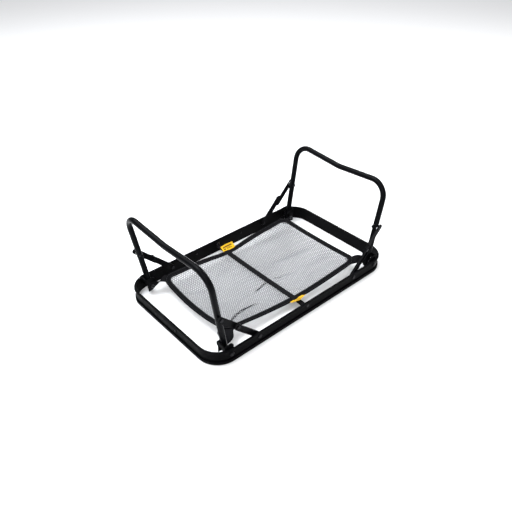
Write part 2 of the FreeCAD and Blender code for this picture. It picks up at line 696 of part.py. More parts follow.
def stay_rivets():
    """Rivet through each post that holds the stay's upper link, and the washer between."""
    height = sizes["stay_grip"]
    outer = post_offset(height) + sizes["tube_radius"]
    inner = post_offset(height) - sizes["tube_radius"]
    grip = leg_frame().multVec(Vector(0, 0, height))
    start = inner - sizes["thin_head"]
    rivet = doc.addObject("Part::Cylinder", "StayRivetShank")
    bind(rivet, "Radius", (WHOLE, "rivet_shank"))
    rivet.Height = sizes["upper_in"] + sizes["upper_thickness"] - start
    place_on_wall(rivet, grip.x, start, grip.z, OUTWARD)
    tail = doc.addObject("Part::Cylinder", "StayRivetTail")
    bind(tail, "Radius", (WHOLE, "rivet_head"))
    bind(tail, "Height", (WHOLE, "thin_head"))
    place_on_wall(tail, grip.x, start - sizes["side_play"] / 2, grip.z, OUTWARD)
    head = doc.addObject("Part::Cylinder", "StayRivetHead")
    bind(head, "Radius", (WHOLE, "rivet_head"))
    bind(head, "Height", (WHOLE, "thin_head"))
    place_on_wall(head, grip.x, amount((WHOLE, "upper_in"), (WHOLE, "upper_thickness")), grip.z, OUTWARD)
    whole = doc.addObject("Part::MultiFuse", "StayRivet")
    whole.Shapes = [rivet, tail, head]
    leg_pair(group("StayRivets", both_sides(whole, "StayRivetCopy")), "leg_stay_rivets")

    face = outer + sizes["side_play"] / 2
    inside = ((WHOLE, "rivet_shank"), (WHOLE, "hole_play"))
    ring = washer("StayWasher", ((WHOLE, "washer_radius"),), inside, ((WHOLE, "washer_thickness"),))
    place_on_wall(ring, grip.x, face, grip.z, OUTWARD)
    leg_pair(group("StayWashers", both_sides(ring, "StayWasherCopy")), "leg_stay_washers")


# Stays
def stay_line():
    """Where a stay's two ends are, how long it is and how steeply it rises outward."""
    frame_end = Vector(sizes["stay_x"], 0, sizes["stay_z"])
    grip = leg_frame().multVec(Vector(0, 0, sizes["stay_grip"]))
    run = grip - frame_end
    return frame_end, grip, run.Length, math.degrees(math.atan2(run.z, run.x))


def lower_links():
    """A channel open outward, pivoted on the frame, with a slot and a stop tab at its head."""
    frame_end, grip, span, rise = stay_line()
    reach = span - sizes["upper_reach"]
    body = body_named("LowerLink")
    back = sketch_on(body, "XZ_Plane")
    sketch_capsule(back, 0.0, reach + sizes["lower_head"] / 2, "link_half")
    pad(body, back, (WHOLE, "lower_depth"), reverse=True)
    hollow = sketch_on(body, "XZ_Plane", ((-WHOLE, "lower_wall"),))
    sketch_capsule(hollow, 0.0, reach + sizes["lower_head"] / 2, "hollow_half")
    pocket(body, hollow, (WHOLE, "lower_depth"))
    holes = sketch_on(body, "XZ_Plane")
    zero = ((0.0, "rivet_shank"),)
    circle(holes, zero, zero, ((WHOLE, "rivet_shank"), (WHOLE, "hole_play")))
    half_slot = sizes["slot_length"] / 2 - sizes["rivet_shank"]
    sketch_capsule(holes, reach - half_slot, reach + half_slot, "slot_half")
    bore_through(body, holes)
    tab = sketch_on(body, "XZ_Plane")
    low = sizes["link_half"] - sizes["stop_tab"] / 2
    high = sizes["link_half"] + sizes["stop_tab"] / 2
    plain_rectangle(tab, reach + sizes["stop_tab"], reach + 3 * sizes["stop_tab"], low, high)
    pad(body, tab, (WHOLE, "lower_depth"), reverse=True)
    place = Vector(frame_end.x, sizes["lower_in"], frame_end.z)
    body.Placement = Placement(place, Rotation(Vector(0, 1, 0), -rise))
    corner_nodes(body, "LowerLinkCopy", "lower_link")


def upper_links():
    """A flat bar from just behind the leg's rivet to a little beyond the elbow."""
    frame_end, grip, span, rise = stay_line()
    body = body_named("UpperLink")
    face = sketch_on(body, "XZ_Plane")
    sketch_capsule(face, -sizes["upper_lead"], sizes["upper_reach"] + sizes["upper_tail"] / 2, "link_half")
    zero = ((0.0, "rivet_shank"),)
    hole = ((WHOLE, "rivet_shank"), (WHOLE, "hole_play"))
    circle(face, zero, zero, hole)
    circle(face, ((WHOLE, "upper_reach"),), zero, hole)
    pad(body, face, (WHOLE, "upper_thickness"), reverse=True)
    place = Vector(grip.x, sizes["upper_in"], grip.z)
    body.Placement = Placement(place, Rotation(Vector(0, 1, 0), 180 - rise))
    corner_nodes(body, "UpperLinkCopy", "upper_link")


def elbow_rivets():
    """The elbow's rivet in two halves: a pin in the upper link, a slot head in the lower."""
    frame_end, grip, span, rise = stay_line()
    share = sizes["upper_reach"] / span
    elbow = grip + (frame_end - grip) * share
    inside = sizes["upper_in"] - sizes["thin_head"]
    pin = doc.addObject("Part::Cylinder", "ElbowPin")
    bind(pin, "Radius", (WHOLE, "rivet_shank"))
    pin.Height = sizes["upper_in"] + sizes["upper_thickness"] + sizes["thin_head"] - inside
    place_on_wall(pin, elbow.x, inside, elbow.z, OUTWARD)
    flange = doc.addObject("Part::Cylinder", "ElbowPinHead")
    bind(flange, "Radius", (WHOLE, "rivet_head"))
    bind(flange, "Height", (WHOLE, "thin_head"))
    place_on_wall(flange, elbow.x, inside, elbow.z, OUTWARD)
    upper = doc.addObject("Part::Fuse", "ElbowUpper")
    upper.Base = pin
    upper.Tool = flange
    corner_nodes(upper, "ElbowUpperCopy", "elbow_pin")

    stem = doc.addObject("Part::Cylinder", "ElbowStem")
    bind(stem, "Radius", (WHOLE, "rivet_shank"), (-WHOLE, "hole_play"))
    bind(stem, "Height", (WHOLE, "lower_wall"))
    place_on_wall(stem, elbow.x, sizes["lower_in"], elbow.z, OUTWARD)
    cap = doc.addObject("Part::Cylinder", "ElbowCap")
    bind(cap, "Radius", (WHOLE, "rivet_head"))
    bind(cap, "Height", (WHOLE, "rivet_dome"))
    place_on_wall(cap, elbow.x, amount((WHOLE, "lower_in"), (WHOLE, "lower_wall")), elbow.z, OUTWARD)
    lower = doc.addObject("Part::Fuse", "ElbowLower")
    lower.Base = stem
    lower.Tool = cap
    corner_nodes(lower, "ElbowLowerCopy", "elbow_head")


def sketch_capsule(sketch, start, end, half_name):
    """A bar with round ends along the sketch's X axis; its width comes from the sheet."""
    radius = sizes[half_name]
    first = sketch.GeometryCount
    low = Part.LineSegment(Vector(start, -radius, 0), Vector(end, -radius, 0))
    high = Part.LineSegment(Vector(end, radius, 0), Vector(start, radius, 0))
    end_circle = Part.Circle(Vector(end, 0, 0), Vector(0, 0, 1), radius)
    start_circle = Part.Circle(Vector(start, 0, 0), Vector(0, 0, 1), radius)
    sketch.addGeometry(low, False)
    sketch.addGeometry(Part.ArcOfCircle(end_circle, -math.pi / 2, math.pi / 2), False)
    sketch.addGeometry(high, False)
    sketch.addGeometry(Part.ArcOfCircle(start_circle, math.pi / 2, 3 * math.pi / 2), False)
    for index in range(4):
        after = first + (index + 1) % 4
        sketch.addConstraint(Sketcher.Constraint("Tangent", first + index, 2, after, 1))
    sketch.addConstraint(Sketcher.Constraint("Horizontal", first))
    dimension(sketch, "Radius", (first + 1,), (WHOLE, half_name))
    sketch.addConstraint(Sketcher.Constraint("PointOnObject", first + 1, 3, -1))
    sketch.addConstraint(Sketcher.Constraint("DistanceX", -1, 1, first + 1, 3, end))
    sketch.addConstraint(Sketcher.Constraint("DistanceX", -1, 1, first + 3, 3, start))


def plain_rectangle(sketch, left, right, low, high):
    points = [Vector(left, low, 0), Vector(right, low, 0), Vector(right, high, 0), Vector(left, high, 0)]
    for index in range(4):
        sketch.addGeometry(Part.LineSegment(points[index], points[(index + 1) % 4]), False)
    for index in range(4):
        sketch.addConstraint(Sketcher.Constraint("Coincident", index, 2, (index + 1) % 4, 1))
        sketch.addConstraint(Sketcher.Constraint("Horizontal" if index % 2 == 0 else "Vertical", index))
    sketch.addConstraint(Sketcher.Constraint("DistanceX", -1, 1, 0, 1, left))
    sketch.addConstraint(Sketcher.Constraint("DistanceX", -1, 1, 1, 1, right))
    sketch.addConstraint(Sketcher.Constraint("DistanceY", -1, 1, 0, 1, low))
    sketch.addConstraint(Sketcher.Constraint("DistanceY", -1, 1, 2, 1, high))


# Sling
def sling():
    half_x = ((HALF, "sling_length"),)
    half_y = ((HALF, "sling_width"),)
    inner_x = ((HALF, "sling_length"), (-WHOLE, "binding_width"))
    inner_y = ((HALF, "sling_width"), (-WHOLE, "binding_width"))
    panel = body_named("Panel")
    middle = ((HALF, "binding_thickness"), (-HALF, "panel_thickness"))
    face = sketch_on(panel, "XY_Plane", ((WHOLE, "sling_z"), *middle))
    rounded_rectangle(face, inner_x, inner_y, ((HALF, "sling_corner"),))
    pad(panel, face, (WHOLE, "panel_thickness"))
    node(panel, "mesh_panel")

    binding = body_named("Binding")
    hem = sketch_on(binding, "XY_Plane", ((WHOLE, "sling_z"),))
    rounded_rectangle(hem, half_x, half_y, ((WHOLE, "sling_corner"),))
    rounded_rectangle(hem, inner_x, inner_y, ((HALF, "sling_corner"),))
    pad(binding, hem, (WHOLE, "binding_thickness"))
    node(binding, "edge_binding")


def centre_strap():
    """Webbing across the middle: flat over the sling, rising to a tab bolted on each wall."""
    body = body_named("CentreStrap")
    first = ((WHOLE, "strap_x"), (-HALF, "strap_width"))
    side = sketch_on(body, "YZ_Plane", first)
    wall = wall_inner_y
    face = (*wall_inner_y, (-WHOLE, "strap_thickness"))
    edge = ((HALF, "sling_width"),)
    low = ((WHOLE, "sling_z"), (WHOLE, "binding_thickness"))
    low_top = (*low, (WHOLE, "strap_thickness"))
    fold_top = ((WHOLE, "strap_fold_z"),)
    fold = (*fold_top, (-WHOLE, "strap_thickness"))
    foot = ((WHOLE, "strap_tab_bottom"),)
    far_side = [(edge, low), (face, fold), (face, foot), (wall, foot), (wall, fold_top), (edge, low_top)]
    near_side = [(tuple((-factor, name) for factor, name in across), up) for across, up in reversed(far_side)]
    polygon(side, far_side + near_side)
    pad(body, side, (WHOLE, "strap_width"))
    holes = sketch_on(body, "XZ_Plane")
    rivet_hole = ((WHOLE, "rivet_shank"), (WHOLE, "hole_play"))
    circle(holes, ((WHOLE, "strap_x"),), ((WHOLE, "strap_bolt_z"),), rivet_hole)
    bore_through(body, holes)
    node(body, "centre_strap")


def strap_bolts():
    """Far bolt also holds the splice bar, so it is longer by the bar's thickness."""
    bolts = []
    for name, extra in (("StrapBoltFar", WHOLE), ("StrapBoltNear", 0.0)):
        length = ((WHOLE, "ring_depth"), (-WHOLE, "web_recess"), (WHOLE, "strap_thickness"))
        length = (*length, (WHOLE, "thin_head"), (extra, "splice_thickness"))
        bolt = fastener(name, "rivet_shank", "rivet_head", length, ((WHOLE, "low_head"),), "low_round")
        start = amount(*wall_inner_y, (-WHOLE, "strap_thickness"), (-WHOLE, "thin_head"))
        place_on_wall(bolt, sizes["strap_x"], start, sizes["strap_bolt_z"], OUTWARD)
        bolts.append(bolt)
    far, near = bolts
    node(group("StrapBolts", [far, mirrored(near, "StrapBoltNearCopy", Vector(0, 1, 0))]), "strap_bolts")

    inside = ((WHOLE, "rivet_shank"), (WHOLE, "hole_play"))
    ring = washer("StrapWasher", ((WHOLE, "rivet_head"),), inside, ((WHOLE, "thin_head"),))
    face = amount(*wall_inner_y, (-WHOLE, "strap_thickness"))
    place_on_wall(ring, sizes["strap_x"], face, sizes["strap_bolt_z"], INWARD)
    node(group("StrapWashers", both_sides(ring, "StrapWasherCopy")), "strap_washers")


def corner_straps():
    """Webbing from a corner of the sling to a tab held under the pivot bolt's nut."""
    body = body_named("CornerStrap")
    tab = sketch_on(body, "XZ_Plane", ((-WHOLE, "inner_ear"),))
    left = ((WHOLE, "pivot_x"), (-HALF, "corner_strap_width"))
    right = ((WHOLE, "pivot_x"), (HALF, "corner_strap_width"))
    low = ((WHOLE, "corner_tab_bottom"),)
    high = ((WHOLE, "corner_strap_z"), (WHOLE, "corner_strap_thickness"))
    polygon(tab, [(left, low), (right, low), (right, high), (left, high)])
    circle(tab, ((WHOLE, "pivot_x"),), ((WHOLE, "pivot_z"),), ((WHOLE, "bolt_shank"), (WHOLE, "hole_play")))
    pad(body, tab, (WHOLE, "corner_strap_thickness"))
    run = sketch_on(body, "XY_Plane", ((WHOLE, "corner_strap_z"),))
    wall = ((WHOLE, "inner_ear"),)
    face = strap_tab_in
    far_end = (((WHOLE, "patch_x"),), ((WHOLE, "patch_y"), (WHOLE, "patch_step_y")))
    near_end = (((WHOLE, "patch_x"), (WHOLE, "patch_step_x")), ((WHOLE, "patch_y"),))
    polygon(run, [far_end, near_end, (right, face), (right, wall), (left, wall)])
    pad(body, run, (WHOLE, "corner_strap_thickness"))
    corner_nodes(body, "CornerStrapCopy", "corner_strap")


def labels():
    """Plain tags stitched over the strap between the sling and the frame's long walls."""
    low_top = ((WHOLE, "sling_z"), (WHOLE, "binding_thickness"), (WHOLE, "strap_thickness"))
    climb = amount((WHOLE, "strap_fold_z")) - amount(*low_top)
    slope = math.atan2(climb, amount(*wall_inner_y, (-HALF, "sling_width")))
    lift = amount((WHOLE, "label_y"), (-HALF, "sling_width")) * math.tan(slope)
    height = amount(*low_top) + lift + sizes["label_gap"]
    for name, side, shift in (("label_far", 1, "label_far_shift"), ("label_near", -1, "label_near_shift")):
        tag = doc.addObject("Part::Box", name)
        bind(tag, "Length", (WHOLE, "label_length"))
        bind(tag, "Width", (WHOLE, "label_width"))
        bind(tag, "Height", (WHOLE, "label_thickness"))
        middle = Vector(amount((WHOLE, "strap_x"), (WHOLE, shift)), side * sizes["label_y"], height)
        corner = Vector(-sizes["label_length"] / 2, -sizes["label_width"] / 2, 0)
        turn = Rotation(Vector(1, 0, 0), side * math.degrees(slope))
        tag.Placement = Placement(middle, turn).multiply(Placement(corner, Rotation()))
        node(tag, name)


frame()
splice()
end_plate()
splice_rivets()
end_plate_rivets()
brackets()
pivot_bolts()
stay_pivots()
leg()
leg_plugs()
stay_rivets()
lower_links()
upper_links()
elbow_rivets()
sling()
centre_strap()
strap_bolts()
corner_straps()
labels()

doc.recompute()
for thing in doc.Objects:
    if "Invalid" in thing.State or "Error" in thing.State:
        raise RuntimeError(f"{thing.Name} did not compute: {thing.State}")
for thing in nodes:
    shape = thing.Shape
    if shape.isNull() or not shape.isValid() or not shape.Solids:
        raise RuntimeError(f"{thing.Label} is not a valid solid")
for thing in nodes:
    thing.Shape.exportStep(f"parts/{thing.Label}.step")
    box = thing.Shape.optimalBoundingBox()
    print(f"{thing.Label:28s} {thing.Shape.Volume:10.0f} mm3  solids {len(thing.Shape.Solids)}", box)
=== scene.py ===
import json
import math

import bpy
import numpy as np
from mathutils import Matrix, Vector


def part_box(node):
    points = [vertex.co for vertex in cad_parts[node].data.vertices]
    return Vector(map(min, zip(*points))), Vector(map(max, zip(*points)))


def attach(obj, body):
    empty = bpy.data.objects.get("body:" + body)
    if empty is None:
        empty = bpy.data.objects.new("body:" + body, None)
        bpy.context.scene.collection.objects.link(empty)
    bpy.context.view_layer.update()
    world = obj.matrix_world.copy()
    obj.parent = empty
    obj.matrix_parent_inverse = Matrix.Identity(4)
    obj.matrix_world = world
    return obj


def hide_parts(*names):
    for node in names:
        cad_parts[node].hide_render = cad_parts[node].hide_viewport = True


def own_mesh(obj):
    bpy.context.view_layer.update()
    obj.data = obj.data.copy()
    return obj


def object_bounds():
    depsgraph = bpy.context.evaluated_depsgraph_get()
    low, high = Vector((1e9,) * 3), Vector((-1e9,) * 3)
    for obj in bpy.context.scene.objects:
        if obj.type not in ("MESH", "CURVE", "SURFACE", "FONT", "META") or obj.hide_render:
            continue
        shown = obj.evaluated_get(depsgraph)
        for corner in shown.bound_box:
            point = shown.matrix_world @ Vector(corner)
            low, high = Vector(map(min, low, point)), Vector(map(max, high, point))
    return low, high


# Folding luggage rack. Metres, +Z up, long side along X. The metal and plastic pieces are the
# frame's own nodes with new finishes. The sling, its tape, straps, tags and stitches are made here.

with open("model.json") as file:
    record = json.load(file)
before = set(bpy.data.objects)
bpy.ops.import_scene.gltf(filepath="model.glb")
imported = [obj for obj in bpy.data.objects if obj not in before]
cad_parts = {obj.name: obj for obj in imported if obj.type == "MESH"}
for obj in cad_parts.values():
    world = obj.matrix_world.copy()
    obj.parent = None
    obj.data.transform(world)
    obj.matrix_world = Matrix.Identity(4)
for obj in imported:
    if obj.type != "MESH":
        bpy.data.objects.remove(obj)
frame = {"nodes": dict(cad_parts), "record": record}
cad_low, cad_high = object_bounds()

MM = 0.001


# ---------------------------------------------------------------- node-tree helpers
class Shader:
    """A new material's node tree, with short calls for the nodes used here."""

    def __init__(self, name):
        self.material = bpy.data.materials.new(name)
        self.material.use_nodes = True
        self.tree = self.material.node_tree
        self.surface = self.tree.nodes["Principled BSDF"]
        self.place = self.tree.nodes.new("ShaderNodeTexCoord").outputs["Object"]

    def link(self, source, socket):
        self.tree.links.new(source, socket)

    def feed(self, socket, value):
        if isinstance(value, bpy.types.NodeSocket):
            self.link(value, socket)
        else:
            socket.default_value = value

    def math(self, operation, first, second=0.0, clamp=False):
        node = self.tree.nodes.new("ShaderNodeMath")
        node.operation = operation
        node.use_clamp = clamp
        self.feed(node.inputs[0], first)
        self.feed(node.inputs[1], second)
        return node.outputs[0]

    def scaled(self, vector, factors):
        node = self.tree.nodes.new("ShaderNodeVectorMath")
        node.operation = "MULTIPLY"
        self.feed(node.inputs[0], vector)
        node.inputs[1].default_value = factors
        return node.outputs[0]

    def split(self, vector):
        node = self.tree.nodes.new("ShaderNodeSeparateXYZ")
        self.feed(node.inputs[0], vector)
        return node.outputs[0], node.outputs[1], node.outputs[2]

    def noise(self, scale, detail=3.0, roughness=0.55, vector=None):
        node = self.tree.nodes.new("ShaderNodeTexNoise")
        self.feed(node.inputs["Vector"], vector or self.place)
        node.inputs["Scale"].default_value = scale
        node.inputs["Detail"].default_value = detail
        node.inputs["Roughness"].default_value = roughness
        return node.outputs["Fac"]

    def cells(self, scale, feature="F1", vector=None):
        node = self.tree.nodes.new("ShaderNodeTexVoronoi")
        node.feature = feature
        self.feed(node.inputs["Vector"], vector or self.place)
        node.inputs["Scale"].default_value = scale
        return node.outputs["Distance"]

    def span(self, value, low, high, to_low=0.0, to_high=1.0):
        node = self.tree.nodes.new("ShaderNodeMapRange")
        self.feed(node.inputs["Value"], value)
        node.inputs["From Min"].default_value = low
        node.inputs["From Max"].default_value = high
        node.inputs["To Min"].default_value = to_low
        node.inputs["To Max"].default_value = to_high
        return node.outputs["Result"]

    def mix(self, factor, first, second):
        node = self.tree.nodes.new("ShaderNodeMix")
        node.data_type = "RGBA"
        self.feed(node.inputs["Factor"], factor)
        self.feed(node.inputs[6], first)
        self.feed(node.inputs[7], second)
        return node.outputs[2]

    def bump(self, height, distance, strength=1.0, under=None):
        node = self.tree.nodes.new("ShaderNodeBump")
        node.inputs["Strength"].default_value = strength
        node.inputs["Distance"].default_value = distance
        self.link(height, node.inputs["Height"])
        if under is not None:
            self.link(under, node.inputs["Normal"])
        return node.outputs["Normal"]

    def edges(self, radius):
        """1 on a sharp edge and 0 away from it."""
        rounded = self.tree.nodes.new("ShaderNodeBevel")
        rounded.samples = 4
        rounded.inputs["Radius"].default_value = radius
        flat = self.tree.nodes.new("ShaderNodeNewGeometry")
        across = self.tree.nodes.new("ShaderNodeVectorMath")
        across.operation = "DOT_PRODUCT"
        self.link(rounded.outputs["Normal"], across.inputs[0])
        self.link(flat.outputs["Normal"], across.inputs[1])
        return self.span(across.outputs["Value"], 0.99, 0.86)

    def flat_place(self):
        """Where a point is on the flat cloth, in metres."""
        node = self.tree.nodes.new("ShaderNodeUVMap")
        node.uv_map = "flat"
        return node.outputs["UV"]

    def attribute(self, name):
        node = self.tree.nodes.new("ShaderNodeAttribute")
        node.attribute_name = name
        return node.outputs["Fac"]

    def set(self, **values):
        for name, value in values.items():
            self.feed(self.surface.inputs[name.replace("_", " ")], value)


def rgb(red, green, blue):
    return (red, green, blue, 1.0)


# ---------------------------------------------------------------- metal and plastic finishes
def paint(name, deep, pale, rough_low, rough_high, worn, gloss, grain=0.00004):
    """Sprayed or powder-coated steel: faint orange peel, uneven sheen, dust, rubbed edges."""
    s = Shader(name)
    patches = s.noise(24, 4)
    smears = s.noise(3.2, 5, vector=s.scaled(s.place, (12, 30, 30)))
    colour = s.mix(s.span(patches, 0.35, 0.7), deep, pale)
    rub = s.math("MULTIPLY", s.edges(0.0007), s.span(s.noise(90, 4), 0.46, 0.62))
    colour = s.mix(s.math("MULTIPLY", rub, 0.55), colour, worn)
    specks = s.span(s.cells(520), 0.075, 0.045)
    specks = s.math("MULTIPLY", specks, s.span(s.noise(40), 0.5, 0.66))
    colour = s.mix(s.math("MULTIPLY", specks, 0.3), colour, rgb(0.08, 0.08, 0.085))
    rough = s.span(s.math("ADD", smears, s.noise(260, 2)), 0.75, 1.3, rough_low, rough_high)
    s.set(Base_Color=colour, Roughness=rough, Specular_IOR_Level=gloss)
    peel = s.bump(s.noise(900, 2), grain)
    s.set(Normal=s.bump(s.cells(1500), grain * 0.6, under=peel))
    return s.material


def plated(name, deep, pale, rough_low, rough_high, metallic=1.0):
    """Plated or blackened steel with turned marks and dull patches."""
    s = Shader(name)
    turned = s.noise(60, 3, vector=s.scaled(s.place, (40, 2, 40)))
    colour = s.mix(s.span(s.noise(150, 4), 0.35, 0.7), deep, pale)
    rough = s.span(turned, 0.3, 0.7, rough_low, rough_high)
    s.set(Base_Color=colour, Metallic=metallic, Roughness=rough)
    s.set(Normal=s.bump(turned, 0.00003))
    return s.material


def moulded(name, colour):
    """Matt moulded plastic with a fine spark-eroded grain."""
    s = Shader(name)
    tone = s.mix(s.span(s.noise(45), 0.3, 0.7), colour, rgb(0.014, 0.014, 0.015))
    s.set(Base_Color=tone, Roughness=s.span(s.noise(600), 0.3, 0.7, 0.5, 0.68))
    s.set(Normal=s.bump(s.cells(2400), 0.00005))
    return s.material


frame_paint = paint(
    "frame_powder_coat",
    deep=rgb(0.0014, 0.0014, 0.0017),
    pale=rgb(0.003, 0.003, 0.0036),
    rough_low=0.36,
    rough_high=0.52,
    worn=rgb(0.03, 0.03, 0.033),
    gloss=0.02,
)
leg_paint = paint(
    "leg_gloss_paint",
    deep=rgb(0.0014, 0.0015, 0.0019),
    pale=rgb(0.0026, 0.0028, 0.0036),
    rough_low=0.18,
    rough_high=0.28,
    worn=rgb(0.04, 0.04, 0.046),
    gloss=0.035,
)
stay_paint = paint(
    "stay_paint",
    deep=rgb(0.0016, 0.0016, 0.0019),
    pale=rgb(0.0034, 0.0034, 0.004),
    rough_low=0.30,
    rough_high=0.44,
    worn=rgb(0.045, 0.045, 0.049),
    gloss=0.025,
)
dark_steel = plated("blackened_steel", rgb(0.006, 0.006, 0.007), rgb(0.018, 0.018, 0.02), 0.34, 0.52)
zinc_steel = plated("zinc_plate", rgb(0.46, 0.47, 0.49), rgb(0.66, 0.67, 0.69), 0.28, 0.44)
worn_zinc = plated("worn_zinc_plate", rgb(0.05, 0.05, 0.053), rgb(0.13, 0.13, 0.136), 0.36, 0.55)
plug_plastic = moulded("moulded_black", rgb(0.006, 0.006, 0.0066))

finishes = {
    "frame_paint": frame_paint,
    "leg_paint": leg_paint,
    "bracket_paint": stay_paint,
    "stay_paint": stay_paint,
    "blackened_steel": dark_steel,
    "zinc_steel": zinc_steel,
    "plug_plastic": plug_plastic,
}
# Zinc-plated pieces that look dull and dark in the photo.
worn_finishes = {"pivot_nuts": worn_zinc, "strap_washers": worn_zinc}

for row in frame["record"]["subparts"]:
    finish = worn_finishes.get(row["node"], finishes.get(row["material_slot"]))
    if finish:
        node = frame["nodes"][row["node"]]
        node.data.materials.clear()
        node.data.materials.append(finish)


# ---------------------------------------------------------------- mesh helpers
def shell(name, points, faces, uv=None, smooth=True):
    """A new mesh piece from points, faces and, for each point, a pair of UV coordinates."""
    data = bpy.data.meshes.new(name)
    data.from_pydata([tuple(p) for p in points], [], [tuple(int(i) for i in f) for f in faces])
    data.validate()
    if uv is not None:
        layer = data.uv_layers.new(name="flat")
        corners = np.empty(len(data.loops), dtype=np.int32)
        data.loops.foreach_get("vertex_index", corners)
        layer.data.foreach_set("uv", np.asarray(uv, dtype=np.float32)[corners].ravel())
    data.shade_smooth() if smooth else data.shade_flat()
    piece = bpy.data.objects.new(name, data)
    bpy.context.scene.collection.objects.link(piece)
    return piece


def finish_piece(piece, material, slot, *replaced):
    """Gives a piece its material, puts it in the frame's body and hides the CAD nodes it stands for.
    The slot is not used.
    """
    piece.data.materials.append(material)
    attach(piece, "frame")
    if replaced:
        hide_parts(*replaced)


def unit(vectors):
    return vectors / np.linalg.norm(vectors, axis=-1, keepdims=True)


CURVE_PARTS = 24


def curve_through(points, step):
    """A smooth curve through points of any number of columns: even steps, and the run at each.

    The step is a length in the first three columns, which are places.
    """
    points = np.asarray(points, dtype=float)
    padded = np.vstack([2 * points[0] - points[1], points, 2 * points[-1] - points[-2]])
    fine = []
    for a, b, c, d in zip(padded, padded[1:], padded[2:], padded[3:]):
        for k in range(CURVE_PARTS):
            w = k / CURVE_PARTS
            square = (2 * a - 5 * b + 4 * c - d) * w**2
            cube = (3 * b - a - 3 * c + d) * w**3
            fine.append((2 * b + (c - a) * w + square + cube) / 2)
    fine = np.array(fine + [points[-1]])
    run = np.concatenate([[0], np.cumsum(np.linalg.norm(np.diff(fine[:, :3], axis=0), axis=1))])
    marks = np.linspace(0, run[-1], max(int(round(run[-1] / step)), 2) + 1)
    return np.stack([np.interp(marks, run, column) for column in fine.T], axis=1), marks


def tube_faces(rings, around, closed):
    """Quads between successive rings of points; an open tube gets a cap at each end."""
    faces = []
    for ring in range(rings if closed else rings - 1):
        here, there = ring * around, (ring + 1) % rings * around
        for k in range(around):
            after = (k + 1) % around
            faces.append((here + k, there + k, there + after, here + after))
    if not closed:
        faces.append(tuple(range(around)))
        faces.append(tuple(range(rings * around - 1, (rings - 1) * around - 1, -1)))
    return faces


# Webbing cut across: places as shares of the half width, heights as shares of the thickness.
WEBBING_SECTION = (
    (-1, 0), (-0.985, 0.34), (-0.93, 0.5), (-0.5, 0.46), (0, 0.45), (0.5, 0.46), (0.93, 0.5),
    (0.985, 0.34), (1, 0), (0.985, -0.34), (0.93, -0.5), (0, -0.45), (-0.93, -0.5), (-0.985, -0.34),
)


def ribbon(name, centres, sides, thickness, step=1.5 * MM):
    """Flat webbing along a curve, with its centre line, half-width vectors and normals.

    Each side is half the width, as a vector across the webbing.
    """
    track, run = curve_through(np.hstack([centres, sides]), step)
    centre, side = track[:, :3], track[:, 3:6]
    half = np.linalg.norm(side, axis=1)
    across = unit(side)
    normal = unit(np.cross(np.gradient(centre, axis=0), across))
    section = [(share, rise * thickness) for share, rise in WEBBING_SECTION]
    points, uv = [], []
    for row in range(len(centre)):
        for share, rise in section:
            points.append(centre[row] + side[row] * share + normal[row] * rise)
            uv.append((half[row] * share, run[row]))
    piece = shell(name, points, tube_faces(len(centre), len(section), False), uv)
    return piece, centre, side, normal


STITCH_SIDES = 6
STITCH_BODY = 0.36  # share of its length, from the middle, at which a stitch starts to taper
STITCH_RISE = 0.35  # height of a stitch's middle above the cloth, as a share of its radius


def stitch_row(places, normals, pitch, length, radius):
    """Points and faces of a row of thread stitches along a line, each sunk halfway in."""
    track, _ = curve_through(np.hstack([places, normals]), pitch)
    points, faces = [], []
    for here, after in zip(track, track[1:]):
        ahead = unit(after[:3] - here[:3])
        up = unit(here[3:6])
        out = np.cross(ahead, up)
        middle = (here[:3] + after[:3]) / 2 + up * radius * STITCH_RISE
        first = len(points)
        points.append(middle - ahead * length / 2 - up * radius)
        for share in (-STITCH_BODY, STITCH_BODY):
            for turn in range(STITCH_SIDES):
                angle = math.tau * turn / STITCH_SIDES
                spoke = out * math.cos(angle) + up * math.sin(angle)
                points.append(middle + ahead * share * length + spoke * radius)
        points.append(middle + ahead * length / 2 - up * radius)
        tip = len(points) - 1
        for turn in range(STITCH_SIDES):
            a, b = first + 1 + turn, first + 1 + (turn + 1) % STITCH_SIDES
            c, d = b + STITCH_SIDES, a + STITCH_SIDES
            faces += [(first, b, a), (a, b, c, d), (d, c, tip)]
    return points, faces


def stitches(name, rows, pitch=3.6 * MM, length=2.9 * MM, radius=0.3 * MM):
    """One piece holding several rows of stitches. Each row is its points and their normals."""
    points, faces = [], []
    for places, normals in rows:
        more, sides = stitch_row(np.asarray(places), np.asarray(normals), pitch, length, radius)
        faces += [tuple(len(points) + index for index in side) for side in sides]
        points += more
    return shell(name, points, faces)


# ---------------------------------------------------------------- how the sling hangs
_, tape_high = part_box("edge_binding")
_, ring_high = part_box("ring_frame")
strap_low, strap_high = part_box("centre_strap")

HALF_LONG = tape_high.x - 4 * MM
HALF_WIDE = tape_high.y
CORNER_RADIUS = 30 * MM
TAPE_WIDTH = 15.5 * MM
STRAP_X = (strap_low.x + strap_high.x) / 2
STRAP_HALF = (strap_high.x - strap_low.x) / 2
# Heights above the sling's middle: of the short edges' middles, of the long edges' middles and of
# the corners on top of both. The corners end a little under the top of the ring, and the right
# edge's middle is lifted some more.
LONG_DIP = 9 * MM
SHORT_DIP = 2 * MM
CORNER_LIFT = 9 * MM
UNDER_RING = 2 * MM
MIDDLE_Z = ring_high.z - UNDER_RING - LONG_DIP - SHORT_DIP - CORNER_LIFT
RIGHT_LIFT = 4.5 * MM
DIP_POWER = 1.6
# The hung sling's length as a share of the flat cloth's, and what the right end adds to it.
SPAN_SHARE = 0.97
SPAN_RIGHT = 0.015
# How far the edges bow outwards or are pulled in, seen from above.
LEFT_BOW = 9 * MM
RIGHT_BOW = 3 * MM
NEAR_LEFT_PULL = 15 * MM
NEAR_RIGHT_SPREAD = 6 * MM
FAR_SPREAD = 6 * MM
# Beside the centre strap the far edge spreads less and is not lifted.
FAR_LIFT = 8 * MM
STRAP_SHARE = 0.35
STRAP_HOLD = 80 * MM
NET_HALF = 0.55 * MM

